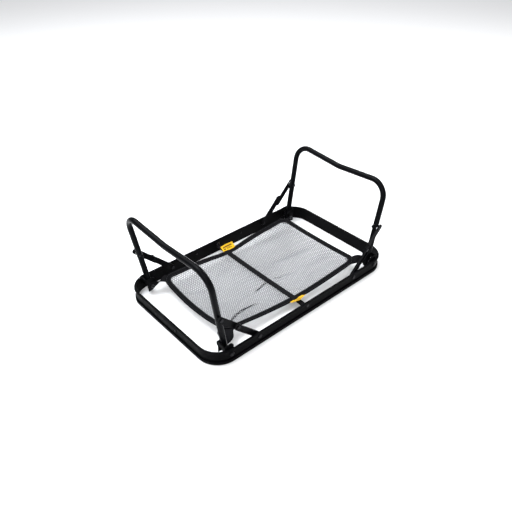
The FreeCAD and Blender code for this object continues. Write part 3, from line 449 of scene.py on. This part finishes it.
# Soft folds: start, end, sideways bend, height and half width, in millimetres on the flat cloth.
FOLDS = (
    ((68, 26), (214, -8), 4, -3.4, 8),
    ((60, 52), (190, 40), -3, 1.6, 12),
    ((82, 113), (196, 96), -3, -2.0, 6),
    ((16, -34), (96, -48), 2, -2.4, 5),
    ((120, -40), (222, -62), -5, -2.2, 12),
    ((-120, 60), (-20, 92), 4, -1.6, 8),
    ((-222, 66), (-140, 44), 3, -2.0, 9),
    ((-150, -10), (-50, 8), -4, 1.5, 8),
    ((-128, -46), (-60, -28), 3, -1.4, 5),
    ((-210, -60), (-150, -20), -4, 1.4, 9),
    ((30, -96), (190, -104), 3, 1.2, 10),
)
# Sharp creases, the same way: where the slack cloth has doubled over.
CREASES = (
    ((-203, -114), (-84, -86), 15, -3.4, 2.6),
    ((-66, -44), (-4, -38), 2, -2.8, 1.9),
    ((12, -34), (48, -44), 1, -1.6, 1.7),
)


def ridge(s, t, start, end, bend, half):
    """1 along a gently bent line on the flat cloth, fading to 0 at its sides and ends."""
    (x0, y0), (x1, y1) = start, end
    length = math.hypot(x1 - x0, y1 - y0) * MM
    ahead = ((x1 - x0) * MM / length, (y1 - y0) * MM / length)
    along = ((s - x0 * MM) * ahead[0] + (t - y0 * MM) * ahead[1]) / length
    off = (t - y0 * MM) * ahead[0] - (s - x0 * MM) * ahead[1]
    inside = np.clip(along, 0, 1)
    off = off - bend * MM * 4 * inside * (1 - inside)
    fade = np.clip(4.5 * inside * (1 - inside), 0, 1) ** 0.8
    return np.exp(-((off / (half * MM)) ** 2)) * fade


def edge_distance(s, t):
    """How far inside the sling's rounded outline a point of the flat cloth is."""
    over_x = np.abs(s) - (HALF_LONG - CORNER_RADIUS)
    over_y = np.abs(t) - (HALF_WIDE - CORNER_RADIUS)
    corner = np.hypot(np.maximum(over_x, 0), np.maximum(over_y, 0))
    return CORNER_RADIUS - corner - np.minimum(np.maximum(over_x, over_y), 0)


def hang(s, t):
    """Where the taut sling's points hang, from their places on the flat cloth."""
    u = s / HALF_LONG
    v = t / HALF_WIDE
    left, right = np.clip(-u, 0, 1.1), np.clip(u, 0, 1.1)
    near, far = np.clip(-v, 0, 1.1), np.clip(v, 0, 1.1)
    ends = 1 - np.exp(-((s / STRAP_HOLD) ** 2))
    bow = RIGHT_BOW * right**1.5 - LEFT_BOW * left**1.5
    x = s * (SPAN_SHARE + SPAN_RIGHT * right) + bow * (1 - v * v)
    y = t + NEAR_LEFT_PULL * left**1.2 * near**1.5 - NEAR_RIGHT_SPREAD * right**0.5 * near
    y = y + FAR_SPREAD * (STRAP_SHARE + (1 - STRAP_SHARE) * ends) * far
    out = np.abs(u) ** DIP_POWER
    dip = LONG_DIP + RIGHT_LIFT * right
    z = MIDDLE_Z + dip * out + (SHORT_DIP + (LONG_DIP + CORNER_LIFT - dip) * out) * v * v
    z = z + FAR_LIFT * ends * (1 - out) * far**2
    return np.stack([x, y, z], axis=-1)


GRID = 4.5 * MM
CLOTH_FRAMES = 25
grid_s = np.linspace(-HALF_LONG, HALF_LONG, int(2 * HALF_LONG / GRID) + 1)
grid_t = np.linspace(-HALF_WIDE, HALF_WIDE, int(2 * HALF_WIDE / GRID) + 1)


def slackened(places):
    """The taut cloth's grid after a cloth simulation, held by its tape and its centre strap."""
    rows, columns = places.shape[:2]
    index = np.arange(rows * columns).reshape(rows, columns)
    faces = np.stack([index[:-1, :-1], index[:-1, 1:], index[1:, 1:], index[1:, :-1]], axis=-1)
    cloth = shell("slack_cloth", places.reshape(-1, 3), faces.reshape(-1, 4))
    s, t = np.meshgrid(grid_s, grid_t)
    held = (edge_distance(s, t) < TAPE_WIDTH) | (np.abs(s - STRAP_X) < STRAP_HALF)
    pins = cloth.vertex_groups.new(name="held")
    pins.add([int(i) for i in index[held]], 1.0, "REPLACE")
    modifier = cloth.modifiers.new("Cloth", "CLOTH")
    settings = modifier.settings
    settings.quality = 8
    settings.mass = 0.004
    settings.tension_stiffness = 12
    settings.compression_stiffness = 6
    settings.shear_stiffness = 3
    settings.bending_stiffness = 0.08
    settings.air_damping = 2
    settings.vertex_group_mass = "held"
    settings.shrink_min = -0.012
    modifier.collision_settings.use_collision = False
    for moment in range(1, CLOTH_FRAMES + 1):
        bpy.context.scene.frame_set(moment)
    graph = bpy.context.evaluated_depsgraph_get()
    moved = np.empty(rows * columns * 3)
    cloth.evaluated_get(graph).data.vertices.foreach_get("co", moved)
    bpy.data.objects.remove(cloth)
    bpy.context.scene.frame_set(1)
    return moved.reshape(rows, columns, 3)


taut = hang(*np.meshgrid(grid_s, grid_t))
cloth_grid = slackened(taut)
slack = cloth_grid - taut


def smooth_weights(share):
    """The four weights of a cubic curve through evenly spaced values."""
    return np.stack([
        ((2 - share) * share - 1) * share / 2,
        ((3 * share - 5) * share * share + 2) / 2,
        ((4 - 3 * share) * share + 1) * share / 2,
        (share - 1) * share * share / 2,
    ])


def hung(s, t):
    """Where the finished sling's points are: taut shape, simulated slack, folds and creases."""
    columns = np.clip((s + HALF_LONG) / (grid_s[1] - grid_s[0]), 0, len(grid_s) - 1.001)
    rows = np.clip((t + HALF_WIDE) / (grid_t[1] - grid_t[0]), 0, len(grid_t) - 1.001)
    across, up = smooth_weights(columns % 1), smooth_weights(rows % 1)
    moved = np.zeros((*np.shape(s), 3))
    for i in range(4):
        row = np.clip(rows.astype(int) + i - 1, 0, len(grid_t) - 1)
        for j in range(4):
            column = np.clip(columns.astype(int) + j - 1, 0, len(grid_s) - 1)
            moved += (up[i] * across[j])[..., None] * slack[row, column]
    place = hang(s, t) + moved
    free = np.clip(edge_distance(s, t) / TAPE_WIDTH - 1, 0, 1)
    for start, end, bend, height, half in FOLDS + CREASES:
        place[..., 2] += free * height * MM * ridge(s, t, start, end, bend, half)
    return place


def hung_normal(s, t):
    """The sling's upward normal at points of the flat cloth."""
    reach = 1.5 * MM
    ahead = hung(s + reach, t) - hung(s - reach, t)
    aside = hung(s, t + reach) - hung(s, t - reach)
    return unit(np.cross(ahead, aside))


# ---------------------------------------------------------------- the sling's net
HOLE_PITCH = 6.0 * MM
HOLE_SHARE = 0.6
HOLE_MARGIN = 0.8  # least distance from a hole's centre to the outline, in pitches
# The painted shade along a crease spreads wider than the crease; the painted shade of creases and
# folds is full at these heights in millimetres.
CREASE_SHADE_SPREAD = 1.6
FULL_CREASE = -3.2
FULL_FOLD = -3.4


def net_cells():
    """Centres of the net's six-sided holes, in offset rows, inside the outline."""
    row_pitch = HOLE_PITCH * math.sqrt(3) / 2
    count_t = int(HALF_WIDE / row_pitch) + 1
    count_s = int(HALF_LONG / HOLE_PITCH) + 1
    rows = np.arange(-count_t, count_t + 1)
    columns = np.arange(-count_s, count_s + 1)
    column, row = np.meshgrid(columns, rows)
    s = (column + (row % 2) / 2) * HOLE_PITCH
    t = row * row_pitch
    inside = edge_distance(s, t) > HOLE_PITCH * HOLE_MARGIN
    return s[inside], t[inside]


def net():
    """The see-through net: strands round every hole, with a top, a bottom and the holes' walls."""
    centre_s, centre_t = net_cells()
    radius = HOLE_PITCH / math.sqrt(3)
    corner_at, flat, cells = {}, [], []
    for s, t in zip(centre_s, centre_t):
        outer, inner = [], []
        for turn in range(6):
            angle = math.radians(30 + 60 * turn)
            x, y = math.cos(angle), math.sin(angle)
            corner = (s + radius * x, t + radius * y)
            key = (round(corner[0] / MM, 2), round(corner[1] / MM, 2))
            if key not in corner_at:
                corner_at[key] = len(flat)
                flat.append(corner)
            outer.append(corner_at[key])
            inner.append(len(flat))
            flat.append((s + radius * HOLE_SHARE * x, t + radius * HOLE_SHARE * y))
        cells.append((outer, inner))
    flat = np.array(flat)
    place, normal = hung(flat[:, 0], flat[:, 1]), hung_normal(flat[:, 0], flat[:, 1])
    points = np.vstack([place + normal * NET_HALF, place - normal * NET_HALF])
    below = len(flat)
    faces, used = [], {}
    for outer, inner in cells:
        for k in range(6):
            a, b = outer[k], outer[(k + 1) % 6]
            c, d = inner[(k + 1) % 6], inner[k]
            faces += [(a, b, c, d), (d + below, c + below, b + below, a + below)]
            faces.append((d, c, c + below, d + below))
            used[(a, b)] = True
    for a, b in used:
        if (b, a) not in used:
            faces.append((b, a, a + below, b + below))
    piece = shell("sling_net", points, faces, np.vstack([flat, flat]), smooth=False)
    # Painted shade: a near-black band along each crease, wider than the crease, where doubled-over
    # cloth lies in shadow.
    shade = np.zeros(len(flat))
    for start, end, bend, height, half in CREASES:
        painted_crease_shade = ridge(flat[:, 0], flat[:, 1], start, end, bend, half * CREASE_SHADE_SPREAD)
        shade = np.maximum(shade, painted_crease_shade * height / FULL_CREASE)
    # Painted shade: darker in the troughs of the soft folds.
    soft = np.zeros(len(flat))
    for start, end, bend, height, half in FOLDS:
        soft += ridge(flat[:, 0], flat[:, 1], start, end, bend, half) * height / FULL_FOLD
    for name, values in (("crease", shade), ("fold", soft)):
        layer = piece.data.attributes.new(name, "FLOAT", "POINT")
        layer.data.foreach_set("value", np.concatenate([values, values]).astype(np.float32))
    return piece


# ---------------------------------------------------------------- the tape round the net
CORNER_PARTS = 8


def outline(inset, step=4 * MM):
    """The sling's rounded outline on the flat cloth, moved inwards, with its inward direction."""
    long, wide = HALF_LONG - CORNER_RADIUS, HALF_WIDE - CORNER_RADIUS
    places, inwards = [], []
    corners = ((long, wide, 0), (-long, wide, 90), (-long, -wide, 180), (long, -wide, 270))
    for index, (s, t, first) in enumerate(corners):
        for part in range(CORNER_PARTS + 1):
            angle = math.radians(first + 90 * part / CORNER_PARTS)
            out = np.array([math.cos(angle), math.sin(angle)])
            places.append(np.array([s, t]) + out * (CORNER_RADIUS - inset))
            inwards.append(-out)
        after_s, after_t, _ = corners[(index + 1) % 4]
        run = math.hypot(after_s - s, after_t - t)
        count = int(run / step)
        for part in range(1, count):
            share = part / count
            middle = np.array([s + (after_s - s) * share, t + (after_t - t) * share])
            places.append(middle + out * (CORNER_RADIUS - inset))
            inwards.append(-out)
    return np.array(places), np.array(inwards)


TAPE_HALF = 1.5 * MM
SEAM_INSETS = (2.9, 12.5)
SEAM_SUNK = 0.86
# Upper half of the tape cut across: millimetres in from the outline, shares of TAPE_HALF up.
TAPE_SECTION = (
    (-0.7, 0), (-0.45, 0.6), (0.3, 0.95), (1.8, 1.0), (SEAM_INSETS[0], SEAM_SUNK), (4.0, 1.04),
    (7.7, 1.12), (11.4, 1.04), (SEAM_INSETS[1], SEAM_SUNK), (13.6, 0.98), (15.0, 0.9), (15.5, 0.55),
)


def edge_tape():
    """Woven tape folded over the net's edge, sunk a little where its two seams run."""
    places, inwards = outline(0)
    section = list(TAPE_SECTION) + [(a, -h) for a, h in reversed(TAPE_SECTION[1:])]
    normal = hung_normal(places[:, 0], places[:, 1])
    run = np.concatenate([[0], np.cumsum(np.linalg.norm(np.diff(places, axis=0), axis=1))])
    rings, uv = [], []
    for across, rise in section:
        flat = places + inwards * across * MM
        rings.append(hang(flat[:, 0], flat[:, 1]) + normal * rise * TAPE_HALF)
        side = 1 if rise >= 0 else -1
        uv.append(np.stack([np.full(len(run), across * MM * side), run], axis=1))
    points = np.stack(rings, axis=1).reshape(-1, 3)
    flat_uv = np.stack(uv, axis=1).reshape(-1, 2)
    return shell("sling_edge_tape", points, tube_faces(len(places), len(section), True), flat_uv)


def tape_seams():
    """Two rows of stitches on top of the tape and two below."""
    rows = []
    for inset in SEAM_INSETS:
        places, _ = outline(inset * MM)
        places = np.vstack([places, places[:1]])
        middle = hang(places[:, 0], places[:, 1])
        normal = hung_normal(places[:, 0], places[:, 1])
        for side in (1, -1):
            rows.append((middle + normal * side * TAPE_HALF * SEAM_SUNK, normal * side))
    return stitches("tape_stitches", rows)


# ---------------------------------------------------------------- straps and tags
STRAP_THICK = 1.5 * MM
WALL_Y = strap_high.y
TAB_TOP = strap_high.z - 2 * MM
TAB_FOOT = 21 * MM
PAST_TAPE = 4 * MM  # where the strap has come down from the tape's inner edge to the net
ON_NET_POINTS = 23
STRAP_SEAMS = (-0.78, 0.78)  # where it is sewn down, as shares of its half width
STRAP_SEAM_RISE = 0.47  # height of those seams over its centre, as a share of its thickness


def strap_track(x):
    """The centre strap's line: down one wall's tab, level to the net, across it and up again."""
    reach = WALL_Y - STRAP_THICK / 2
    on_net = np.linspace(
        -HALF_WIDE + TAPE_WIDTH + PAST_TAPE, HALF_WIDE - TAPE_WIDTH - PAST_TAPE, ON_NET_POINTS
    )
    rise = NET_HALF + STRAP_THICK / 2
    middle = hung(np.full(len(on_net), x), on_net) + np.array([0, 0, rise])
    edge = MIDDLE_Z + SHORT_DIP + TAPE_HALF + STRAP_THICK / 2
    end = [
        (x, reach, TAB_TOP),
        (x, reach, TAB_FOOT + 5 * MM),
        # Round the tab's foot and off the wall.
        (x, reach - 1.4 * MM, TAB_FOOT + 0.9 * MM),
        (x, reach - 6 * MM, TAB_FOOT - 0.4 * MM),
        # A slight sag across the gap, then over the tape.
        (x, (reach + HALF_WIDE) / 2, (TAB_FOOT + edge) / 2 - 0.6 * MM),
        (x, HALF_WIDE - 1 * MM, edge + 0.3 * MM),
        (x, HALF_WIDE - TAPE_WIDTH * 0.75, edge - 0.6 * MM),
    ]
    near = [(px, -py, pz) for px, py, pz in end]
    return np.vstack([near, middle, end[::-1]])


def centre_strap():
    centres = strap_track(STRAP_X)
    sides = np.tile([STRAP_HALF, 0, 0], (len(centres), 1))
    return ribbon("centre_webbing", centres, sides, STRAP_THICK)


CORNERS = (("right_far", 1, 1), ("right_near", 1, -1), ("left_far", -1, 1), ("left_near", -1, -1))
# Where the webbing is on the flat cloth, in from its ends and sides: under the net and at the tape.
WEBBING_START = (22 * MM, 18 * MM)
WEBBING_CORNER = (8 * MM, 9 * MM)
START_DEPTH = 1.5  # times as far under the cloth at its start as at the corner
# Half widths in millimetres under the net, at the tape and at the bolt's tab.
HALF_AT_START, HALF_AT_CORNER, HALF_AT_TAB = 15.5, 16, 12.5
HALFWAY_IN = 1.5 * MM
HALFWAY_UP = 2 * MM
TAB_BOLT_X = 263 * MM
TAB_BOLT_Z = 24 * MM
TAB_END_Z = 22 * MM
# Share of the quarter turn made halfway, half width there and shift along +X, in millimetres.
USUAL_TWIST = (0.5, 11.5, 0)
CORNER_TWISTS = {"left_near": (0.2, 20.5, 3)}


def corner_strap(name, sx, sy):
    """Webbing from under a sling corner to its pivot bolt's tab, with a quarter turn."""
    low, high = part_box(f"{name}_corner_strap")
    tab_y = sy * (max(abs(low.y), abs(high.y)) - STRAP_THICK / 2)
    tab_end = sx * (max(abs(low.x), abs(high.x)) - 1 * MM)
    start_s, start_t = sx * (HALF_LONG - WEBBING_START[0]), sy * (HALF_WIDE - WEBBING_START[1])
    corner_s, corner_t = sx * (HALF_LONG - WEBBING_CORNER[0]), sy * (HALF_WIDE - WEBBING_CORNER[1])
    drop = np.array([0, 0, TAPE_HALF + STRAP_THICK / 2])
    start = hung(np.array(start_s), np.array(start_t)) - drop * START_DEPTH
    corner = hang(np.array(corner_s), np.array(corner_t)) - drop
    bolt = np.array([sx * TAB_BOLT_X, tab_y, TAB_BOLT_Z])
    end = np.array([tab_end, tab_y, TAB_END_Z])
    twist, half, shift = CORNER_TWISTS.get(name, USUAL_TWIST)
    between = corner + (bolt - corner) * 0.5 + np.array([shift * MM, -sy * HALFWAY_IN, HALFWAY_UP])
    pull = unit((bolt - start) * np.array([1, 1, 0]))
    inward = np.array([pull[1], -pull[0], 0])
    inward *= -sy * np.sign(inward[1])
    up = np.array([0, 0, 1.0])
    turned = unit(inward * (1 - twist) + up * twist)
    flat_sides = [inward * HALF_AT_START, inward * HALF_AT_CORNER]
    sides = np.array([*flat_sides, turned * half, up * HALF_AT_TAB, up * HALF_AT_TAB]) * MM
    centres = [start, corner, between, bolt, end]
    return ribbon(f"{name}_corner_webbing", centres, sides, STRAP_THICK)


LABEL_LONG = 44 * MM
LABEL_WIDE = 20 * MM
LABEL_THICK = 0.5 * MM
LABEL_TILTS = {1: math.radians(32), -1: math.radians(28)}
LABEL_CURL = 0.22
LABEL_TWIST = 0.10
LABEL_RIPPLE = 0.5 * MM


def label(name, node, sy):
    """A small woven tag sewn to the tape's outer edge, standing up outwards with a slight curl.

    Returns the tag and the lines its rim stitches follow.
    """
    low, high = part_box(node)
    centre_x = (low.x + high.x) / 2
    columns, rows = 33, 15
    a, b = np.meshgrid(np.linspace(-0.5, 0.5, columns), np.linspace(0, 1, rows))
    tilt = LABEL_TILTS[sy] + LABEL_CURL * (b - 0.5) + LABEL_TWIST * np.sin(5 * a + sy)
    rise = MIDDLE_Z + SHORT_DIP + TAPE_HALF + LABEL_THICK
    y = HALF_WIDE - 1 * MM + b * LABEL_WIDE * np.cos(tilt)
    z = rise + b * LABEL_WIDE * np.sin(tilt) + LABEL_RIPPLE * np.sin(8 * a + 2.5 * sy) * b
    top = np.stack([centre_x + a * LABEL_LONG, sy * y, z], axis=-1)
    normal = unit(np.cross(np.gradient(top, axis=1), np.gradient(top, axis=0))) * sy
    half = normal * LABEL_THICK / 2
    points = np.vstack([(top + half).reshape(-1, 3), (top - half).reshape(-1, 3)])
    flat = np.stack([a * LABEL_LONG, (b - 0.5) * LABEL_WIDE], axis=-1).reshape(-1, 2)
    index = np.arange(rows * columns).reshape(rows, columns)
    below = rows * columns
    faces = []
    for r in range(rows - 1):
        for c in range(columns - 1):
            quad = [index[r, c], index[r, c + 1], index[r + 1, c + 1], index[r + 1, c]]
            faces.append(quad[::sy])
            faces.append([q + below for q in quad[::-sy]])
    rim = [*index[0], *index[1:, -1], *index[-1, -2::-1], *index[-2:0:-1, 0]]
    for here, after in zip(rim, rim[1:] + rim[:1]):
        faces.append([after, here, here + below, after + below][::sy])
    piece = shell(name, points, faces, np.vstack([flat, flat]))
    lines = ((1, slice(1, -1)), (-2, slice(1, -1)), (slice(1, -1), 1), (slice(1, -1), -2))
    rim_rows = [(top[line] + half[line], normal[line]) for line in lines]
    return piece, rim_rows


# ---------------------------------------------------------------- cloth materials
def thread_weave(s, uv_scale, tilt=0.0):
    """Ribs of a plain woven tape from its flat coordinates: (crossing ribs, warp threads)."""
    flat = s.flat_place()
    across, run, _ = s.split(s.scaled(flat, (uv_scale, uv_scale, 1)))
    if tilt:
        run = s.math("ADD", run, s.math("MULTIPLY", across, tilt))
    weft = s.math("SINE", s.math("MULTIPLY", run, math.tau))
    warp = s.math("SINE", s.math("MULTIPLY", across, math.tau * 1.3))
    return weft, warp


def webbing_cloth(name, deep, pale, ribs_per_metre, tilt, rough=0.72):
    """Black polyester webbing: crossing ribs, uneven yarns and specks of lint."""
    s = Shader(name)
    weft, warp = thread_weave(s, ribs_per_metre, tilt)
    woven = s.math("MULTIPLY", s.math("ADD", weft, 1.0), s.math("ADD", warp, 1.4))
    uneven = s.noise(420, 4)
    tone = s.span(s.math("ADD", s.math("MULTIPLY", woven, 0.16), uneven), 0.35, 1.25)
    colour = s.mix(tone, deep, pale)
    fibres, areas = s.span(s.noise(2600, 2), 0.66, 0.74), s.span(s.noise(70, 3), 0.45, 0.65)
    lint = s.math("MULTIPLY", s.math("MULTIPLY", fibres, areas), 0.4)
    colour = s.mix(lint, colour, rgb(0.06, 0.06, 0.064))
    s.set(Base_Color=colour, Roughness=s.span(uneven, 0.3, 0.7, rough, rough + 0.16))
    s.set(Specular_IOR_Level=0.025)
    height = s.math("ADD", s.math("MULTIPLY", woven, 0.25), s.math("MULTIPLY", uneven, 0.4))
    s.set(Normal=s.bump(height, 0.00022))
    return s.material


def net_cloth():
    """Light grey knitted polyester: fine stitches along each strand, painted shade in folds and
    creases.
    """
    s = Shader("sling_net_cloth")
    across, up, _ = s.split(s.flat_place())
    knit = s.math("SINE", s.math("MULTIPLY", across, math.tau * 1500))
    courses = s.math("SINE", s.math("MULTIPLY", up, math.tau * 1150))
    yarn = s.math("MULTIPLY", knit, courses)
    broad = s.noise(9, 4)
    fine = s.noise(700, 3)
    colour = s.mix(s.span(broad, 0.3, 0.72), rgb(0.180, 0.183, 0.188), rgb(0.245, 0.248, 0.253))
    colour = s.mix(s.span(fine, 0.3, 0.8, 0.0, 0.35), colour, rgb(0.40, 0.405, 0.415))
    # Painted shade: the soft folds' troughs are darkened.
    folded = s.span(s.attribute("fold"), 0.0, 1.0, 0.0, 0.42)
    colour = s.mix(folded, colour, rgb(0.12, 0.127, 0.138))
    # Painted shade: the creases are darkened to near-black.
    creased = s.span(s.attribute("crease"), 0.08, 0.55, 0.0, 0.97)
    colour = s.mix(creased, colour, rgb(0.008, 0.008, 0.0095))
    s.set(Base_Color=colour, Roughness=s.span(fine, 0.3, 0.7, 0.6, 0.82))
    s.set(Sheen_Weight=0.12, Sheen_Roughness=0.4, Specular_IOR_Level=0.35)
    s.set(Normal=s.bump(s.math("ADD", s.math("MULTIPLY", yarn, 0.4), fine), 0.00012))
    return s.material


def box_mask(s, across, up, left, right, low, high, soft=0.00035):
    """1 inside a rectangle of the flat cloth, in metres, with slightly soft printed edges."""
    sides = (
        s.span(across, left - soft, left + soft),
        s.span(across, right + soft, right - soft),
        s.span(up, low - soft, low + soft),
        s.span(up, high + soft, high - soft),
    )
    inside = sides[0]
    for side in sides[1:]:
        inside = s.math("MULTIPLY", inside, side)
    return inside


# Plain printed bars on the tags: left, right, low, high in millimetres from the tag's middle.
LABEL_BARS = ((-17, 15, 1.4, 5.2), (-17, -10, -5.0, -0.6), (-7, 9, -2.0, -0.5), (-7, 14, -5.0, -3.4))


def label_cloth():
    """Golden satin-woven tag with plain printed bars, no lettering."""
    s = Shader("label_gold_cloth")
    across, up, _ = s.split(s.flat_place())
    ribs = s.math("SINE", s.math("MULTIPLY", up, math.tau * 2400))
    slubs = s.noise(1, 3, vector=s.scaled(s.flat_place(), (160, 2600, 1)))
    colour = s.mix(s.span(slubs, 0.3, 0.7), rgb(0.64, 0.35, 0.006), rgb(0.86, 0.53, 0.012))
    colour = s.mix(s.span(s.noise(30, 3), 0.4, 0.75, 0.0, 0.35), colour, rgb(0.52, 0.30, 0.02))
    ink = None
    for left, right, low, high in LABEL_BARS:
        bar = box_mask(s, across, up, left * MM, right * MM, low * MM, high * MM)
        ink = bar if ink is None else s.math("MAXIMUM", ink, bar)
    worn = s.span(s.noise(1400, 3), 0.34, 0.44, 0.6, 1.0)
    print_share = s.math("MULTIPLY", ink, s.math("MULTIPLY", worn, 0.97))
    colour = s.mix(print_share, colour, rgb(0.045, 0.016, 0.006))
    s.set(Base_Color=colour, Roughness=s.span(slubs, 0.3, 0.7, 0.42, 0.62))
    s.set(Specular_IOR_Level=0.15)
    s.set(Normal=s.bump(s.math("ADD", s.math("MULTIPLY", ribs, 0.5), slubs), 0.00012))
    return s.material


def thread(name, deep, pale):
    """Twisted sewing thread with a slight shine."""
    s = Shader(name)
    twist = s.noise(3000, 2)
    colour = s.mix(s.span(twist, 0.35, 0.65), deep, pale)
    s.set(Base_Color=colour, Roughness=s.span(twist, 0.3, 0.7, 0.4, 0.6))
    s.set(Normal=s.bump(twist, 0.00008))
    return s.material


WEAVE_BLACK = rgb(0.0016, 0.0016, 0.0019)
tape_cloth = webbing_cloth("edge_tape_weave", WEAVE_BLACK, rgb(0.008, 0.008, 0.009), 620, 0.9)
strap_cloth = webbing_cloth("strap_webbing_weave", WEAVE_BLACK, rgb(0.014, 0.014, 0.0155), 520, 0.0)
black_thread = thread("black_thread", rgb(0.006, 0.006, 0.0066), rgb(0.026, 0.026, 0.028))
brown_thread = thread("brown_thread", rgb(0.20, 0.085, 0.02), rgb(0.36, 0.17, 0.04))

# ---------------------------------------------------------------- sew the sling together
sling_net = net()
finish_piece(sling_net, net_cloth(), "mesh_cloth", "mesh_panel")
edge_piece = edge_tape()
finish_piece(edge_piece, tape_cloth, "binding_tape", "edge_binding")
seam_piece = tape_seams()
finish_piece(seam_piece, black_thread, "binding_tape")

webbing, line, side, normal = centre_strap()
finish_piece(webbing, strap_cloth, "webbing", "centre_strap")
strap_seams = []
on_cloth = np.abs(line[:, 1]) < HALF_WIDE - 2 * MM
for edge in STRAP_SEAMS:
    seam = line + side * edge + normal * STRAP_THICK * STRAP_SEAM_RISE
    strap_seams.append((seam[on_cloth], normal[on_cloth]))
strap_thread = stitches("centre_webbing_stitches", strap_seams)
finish_piece(strap_thread, black_thread, "webbing")

for corner, sx, sy in CORNERS:
    piece, *_ = corner_strap(corner, sx, sy)
    finish_piece(piece, strap_cloth, "webbing", f"{corner}_corner_strap")
    # The leg folds in under this webbing; the piece gets a mesh of its own.
    f"{corner.split('_')[0]}_leg_fold"
    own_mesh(piece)

for name, node, sy in (("label_far_tag", "label_far", 1), ("label_near_tag", "label_near", -1)):
    piece, rim_rows = label(name, node, sy)
    finish_piece(piece, label_cloth(), "label_cloth", node)
    rim_thread = stitches(
        f"{name}_stitches", rim_rows, pitch=2.4 * MM, length=1.8 * MM, radius=0.17 * MM
    )
    finish_piece(rim_thread, brown_thread, "label_cloth")

# ---------------------------------------------------------------- floor, light, camera
FLOOR_SIZE = 8
WORLD_STRENGTH = 0.62

bpy.ops.mesh.primitive_plane_add(size=FLOOR_SIZE, location=(0, 0, cad_low.z))
floor = bpy.context.object
floor.name = "floor"
ground = Shader("pale_floor")
ground.set(Base_Color=rgb(0.9, 0.9, 0.9), Roughness=0.9, Specular_IOR_Level=0.1)
floor.data.materials.append(ground.material)

world = bpy.data.worlds.new("studio")
world.use_nodes = True
sky = world.node_tree.nodes["Background"].inputs
sky["Color"].default_value = rgb(0.98, 0.985, 1.0)
sky["Strength"].default_value = WORLD_STRENGTH
bpy.context.scene.world = world


def softbox(name, place, aim, size, power, colour=(1.0, 1.0, 1.0)):
    """A rectangular area light of so many metres and watts, turned towards a point."""
    data = bpy.data.lights.new(name, "AREA")
    data.shape = "RECTANGLE"
    data.size, data.size_y = size
    data.energy = power
    data.color = colour
    lamp = bpy.data.objects.new(name, data)
    bpy.context.scene.collection.objects.link(lamp)
    lamp.location = place
    lamp.rotation_euler = (Vector(aim) - Vector(place)).to_track_quat("-Z", "Y").to_euler()


LIGHT_AIM = (0, 0, 0.1)
softbox("key", (-0.3, 0.9, 2.3), LIGHT_AIM, (3.0, 2.4), 84, (0.96, 0.98, 1.0))
softbox("strip", (-0.5, 0.7, 2.0), LIGHT_AIM, (1.1, 0.4), 26, (0.88, 0.92, 1.0))
softbox("fill", (-1.7, -1.3, 1.8), LIGHT_AIM, (2.4, 2.0), 36)
softbox("side", (1.9, -0.6, 1.8), LIGHT_AIM, (2.2, 2.0), 30)

CAMERA_TARGET = Vector((0.0619, 0.0908, 0.0))
CAMERA_DISTANCE = 1.693
CAMERA_TURN = math.radians(-41.62)
CAMERA_RISE = math.radians(36.19)
CAMERA_SENSOR = 36
CAMERA_LENS = 39.74

lens = bpy.data.cameras.new("photo_view")
lens.sensor_width = CAMERA_SENSOR
lens.lens = CAMERA_LENS
camera = bpy.data.objects.new("photo_view", lens)
bpy.context.scene.collection.objects.link(camera)
away = Vector((
    math.sin(CAMERA_TURN) * math.cos(CAMERA_RISE),
    -math.cos(CAMERA_TURN) * math.cos(CAMERA_RISE),
    math.sin(CAMERA_RISE),
))
camera.location = CAMERA_TARGET + away * CAMERA_DISTANCE
camera.rotation_euler = (-away).to_track_quat("-Z", "Y").to_euler()
bpy.context.scene.camera = camera
bpy.context.scene.view_settings.view_transform = "Standard"
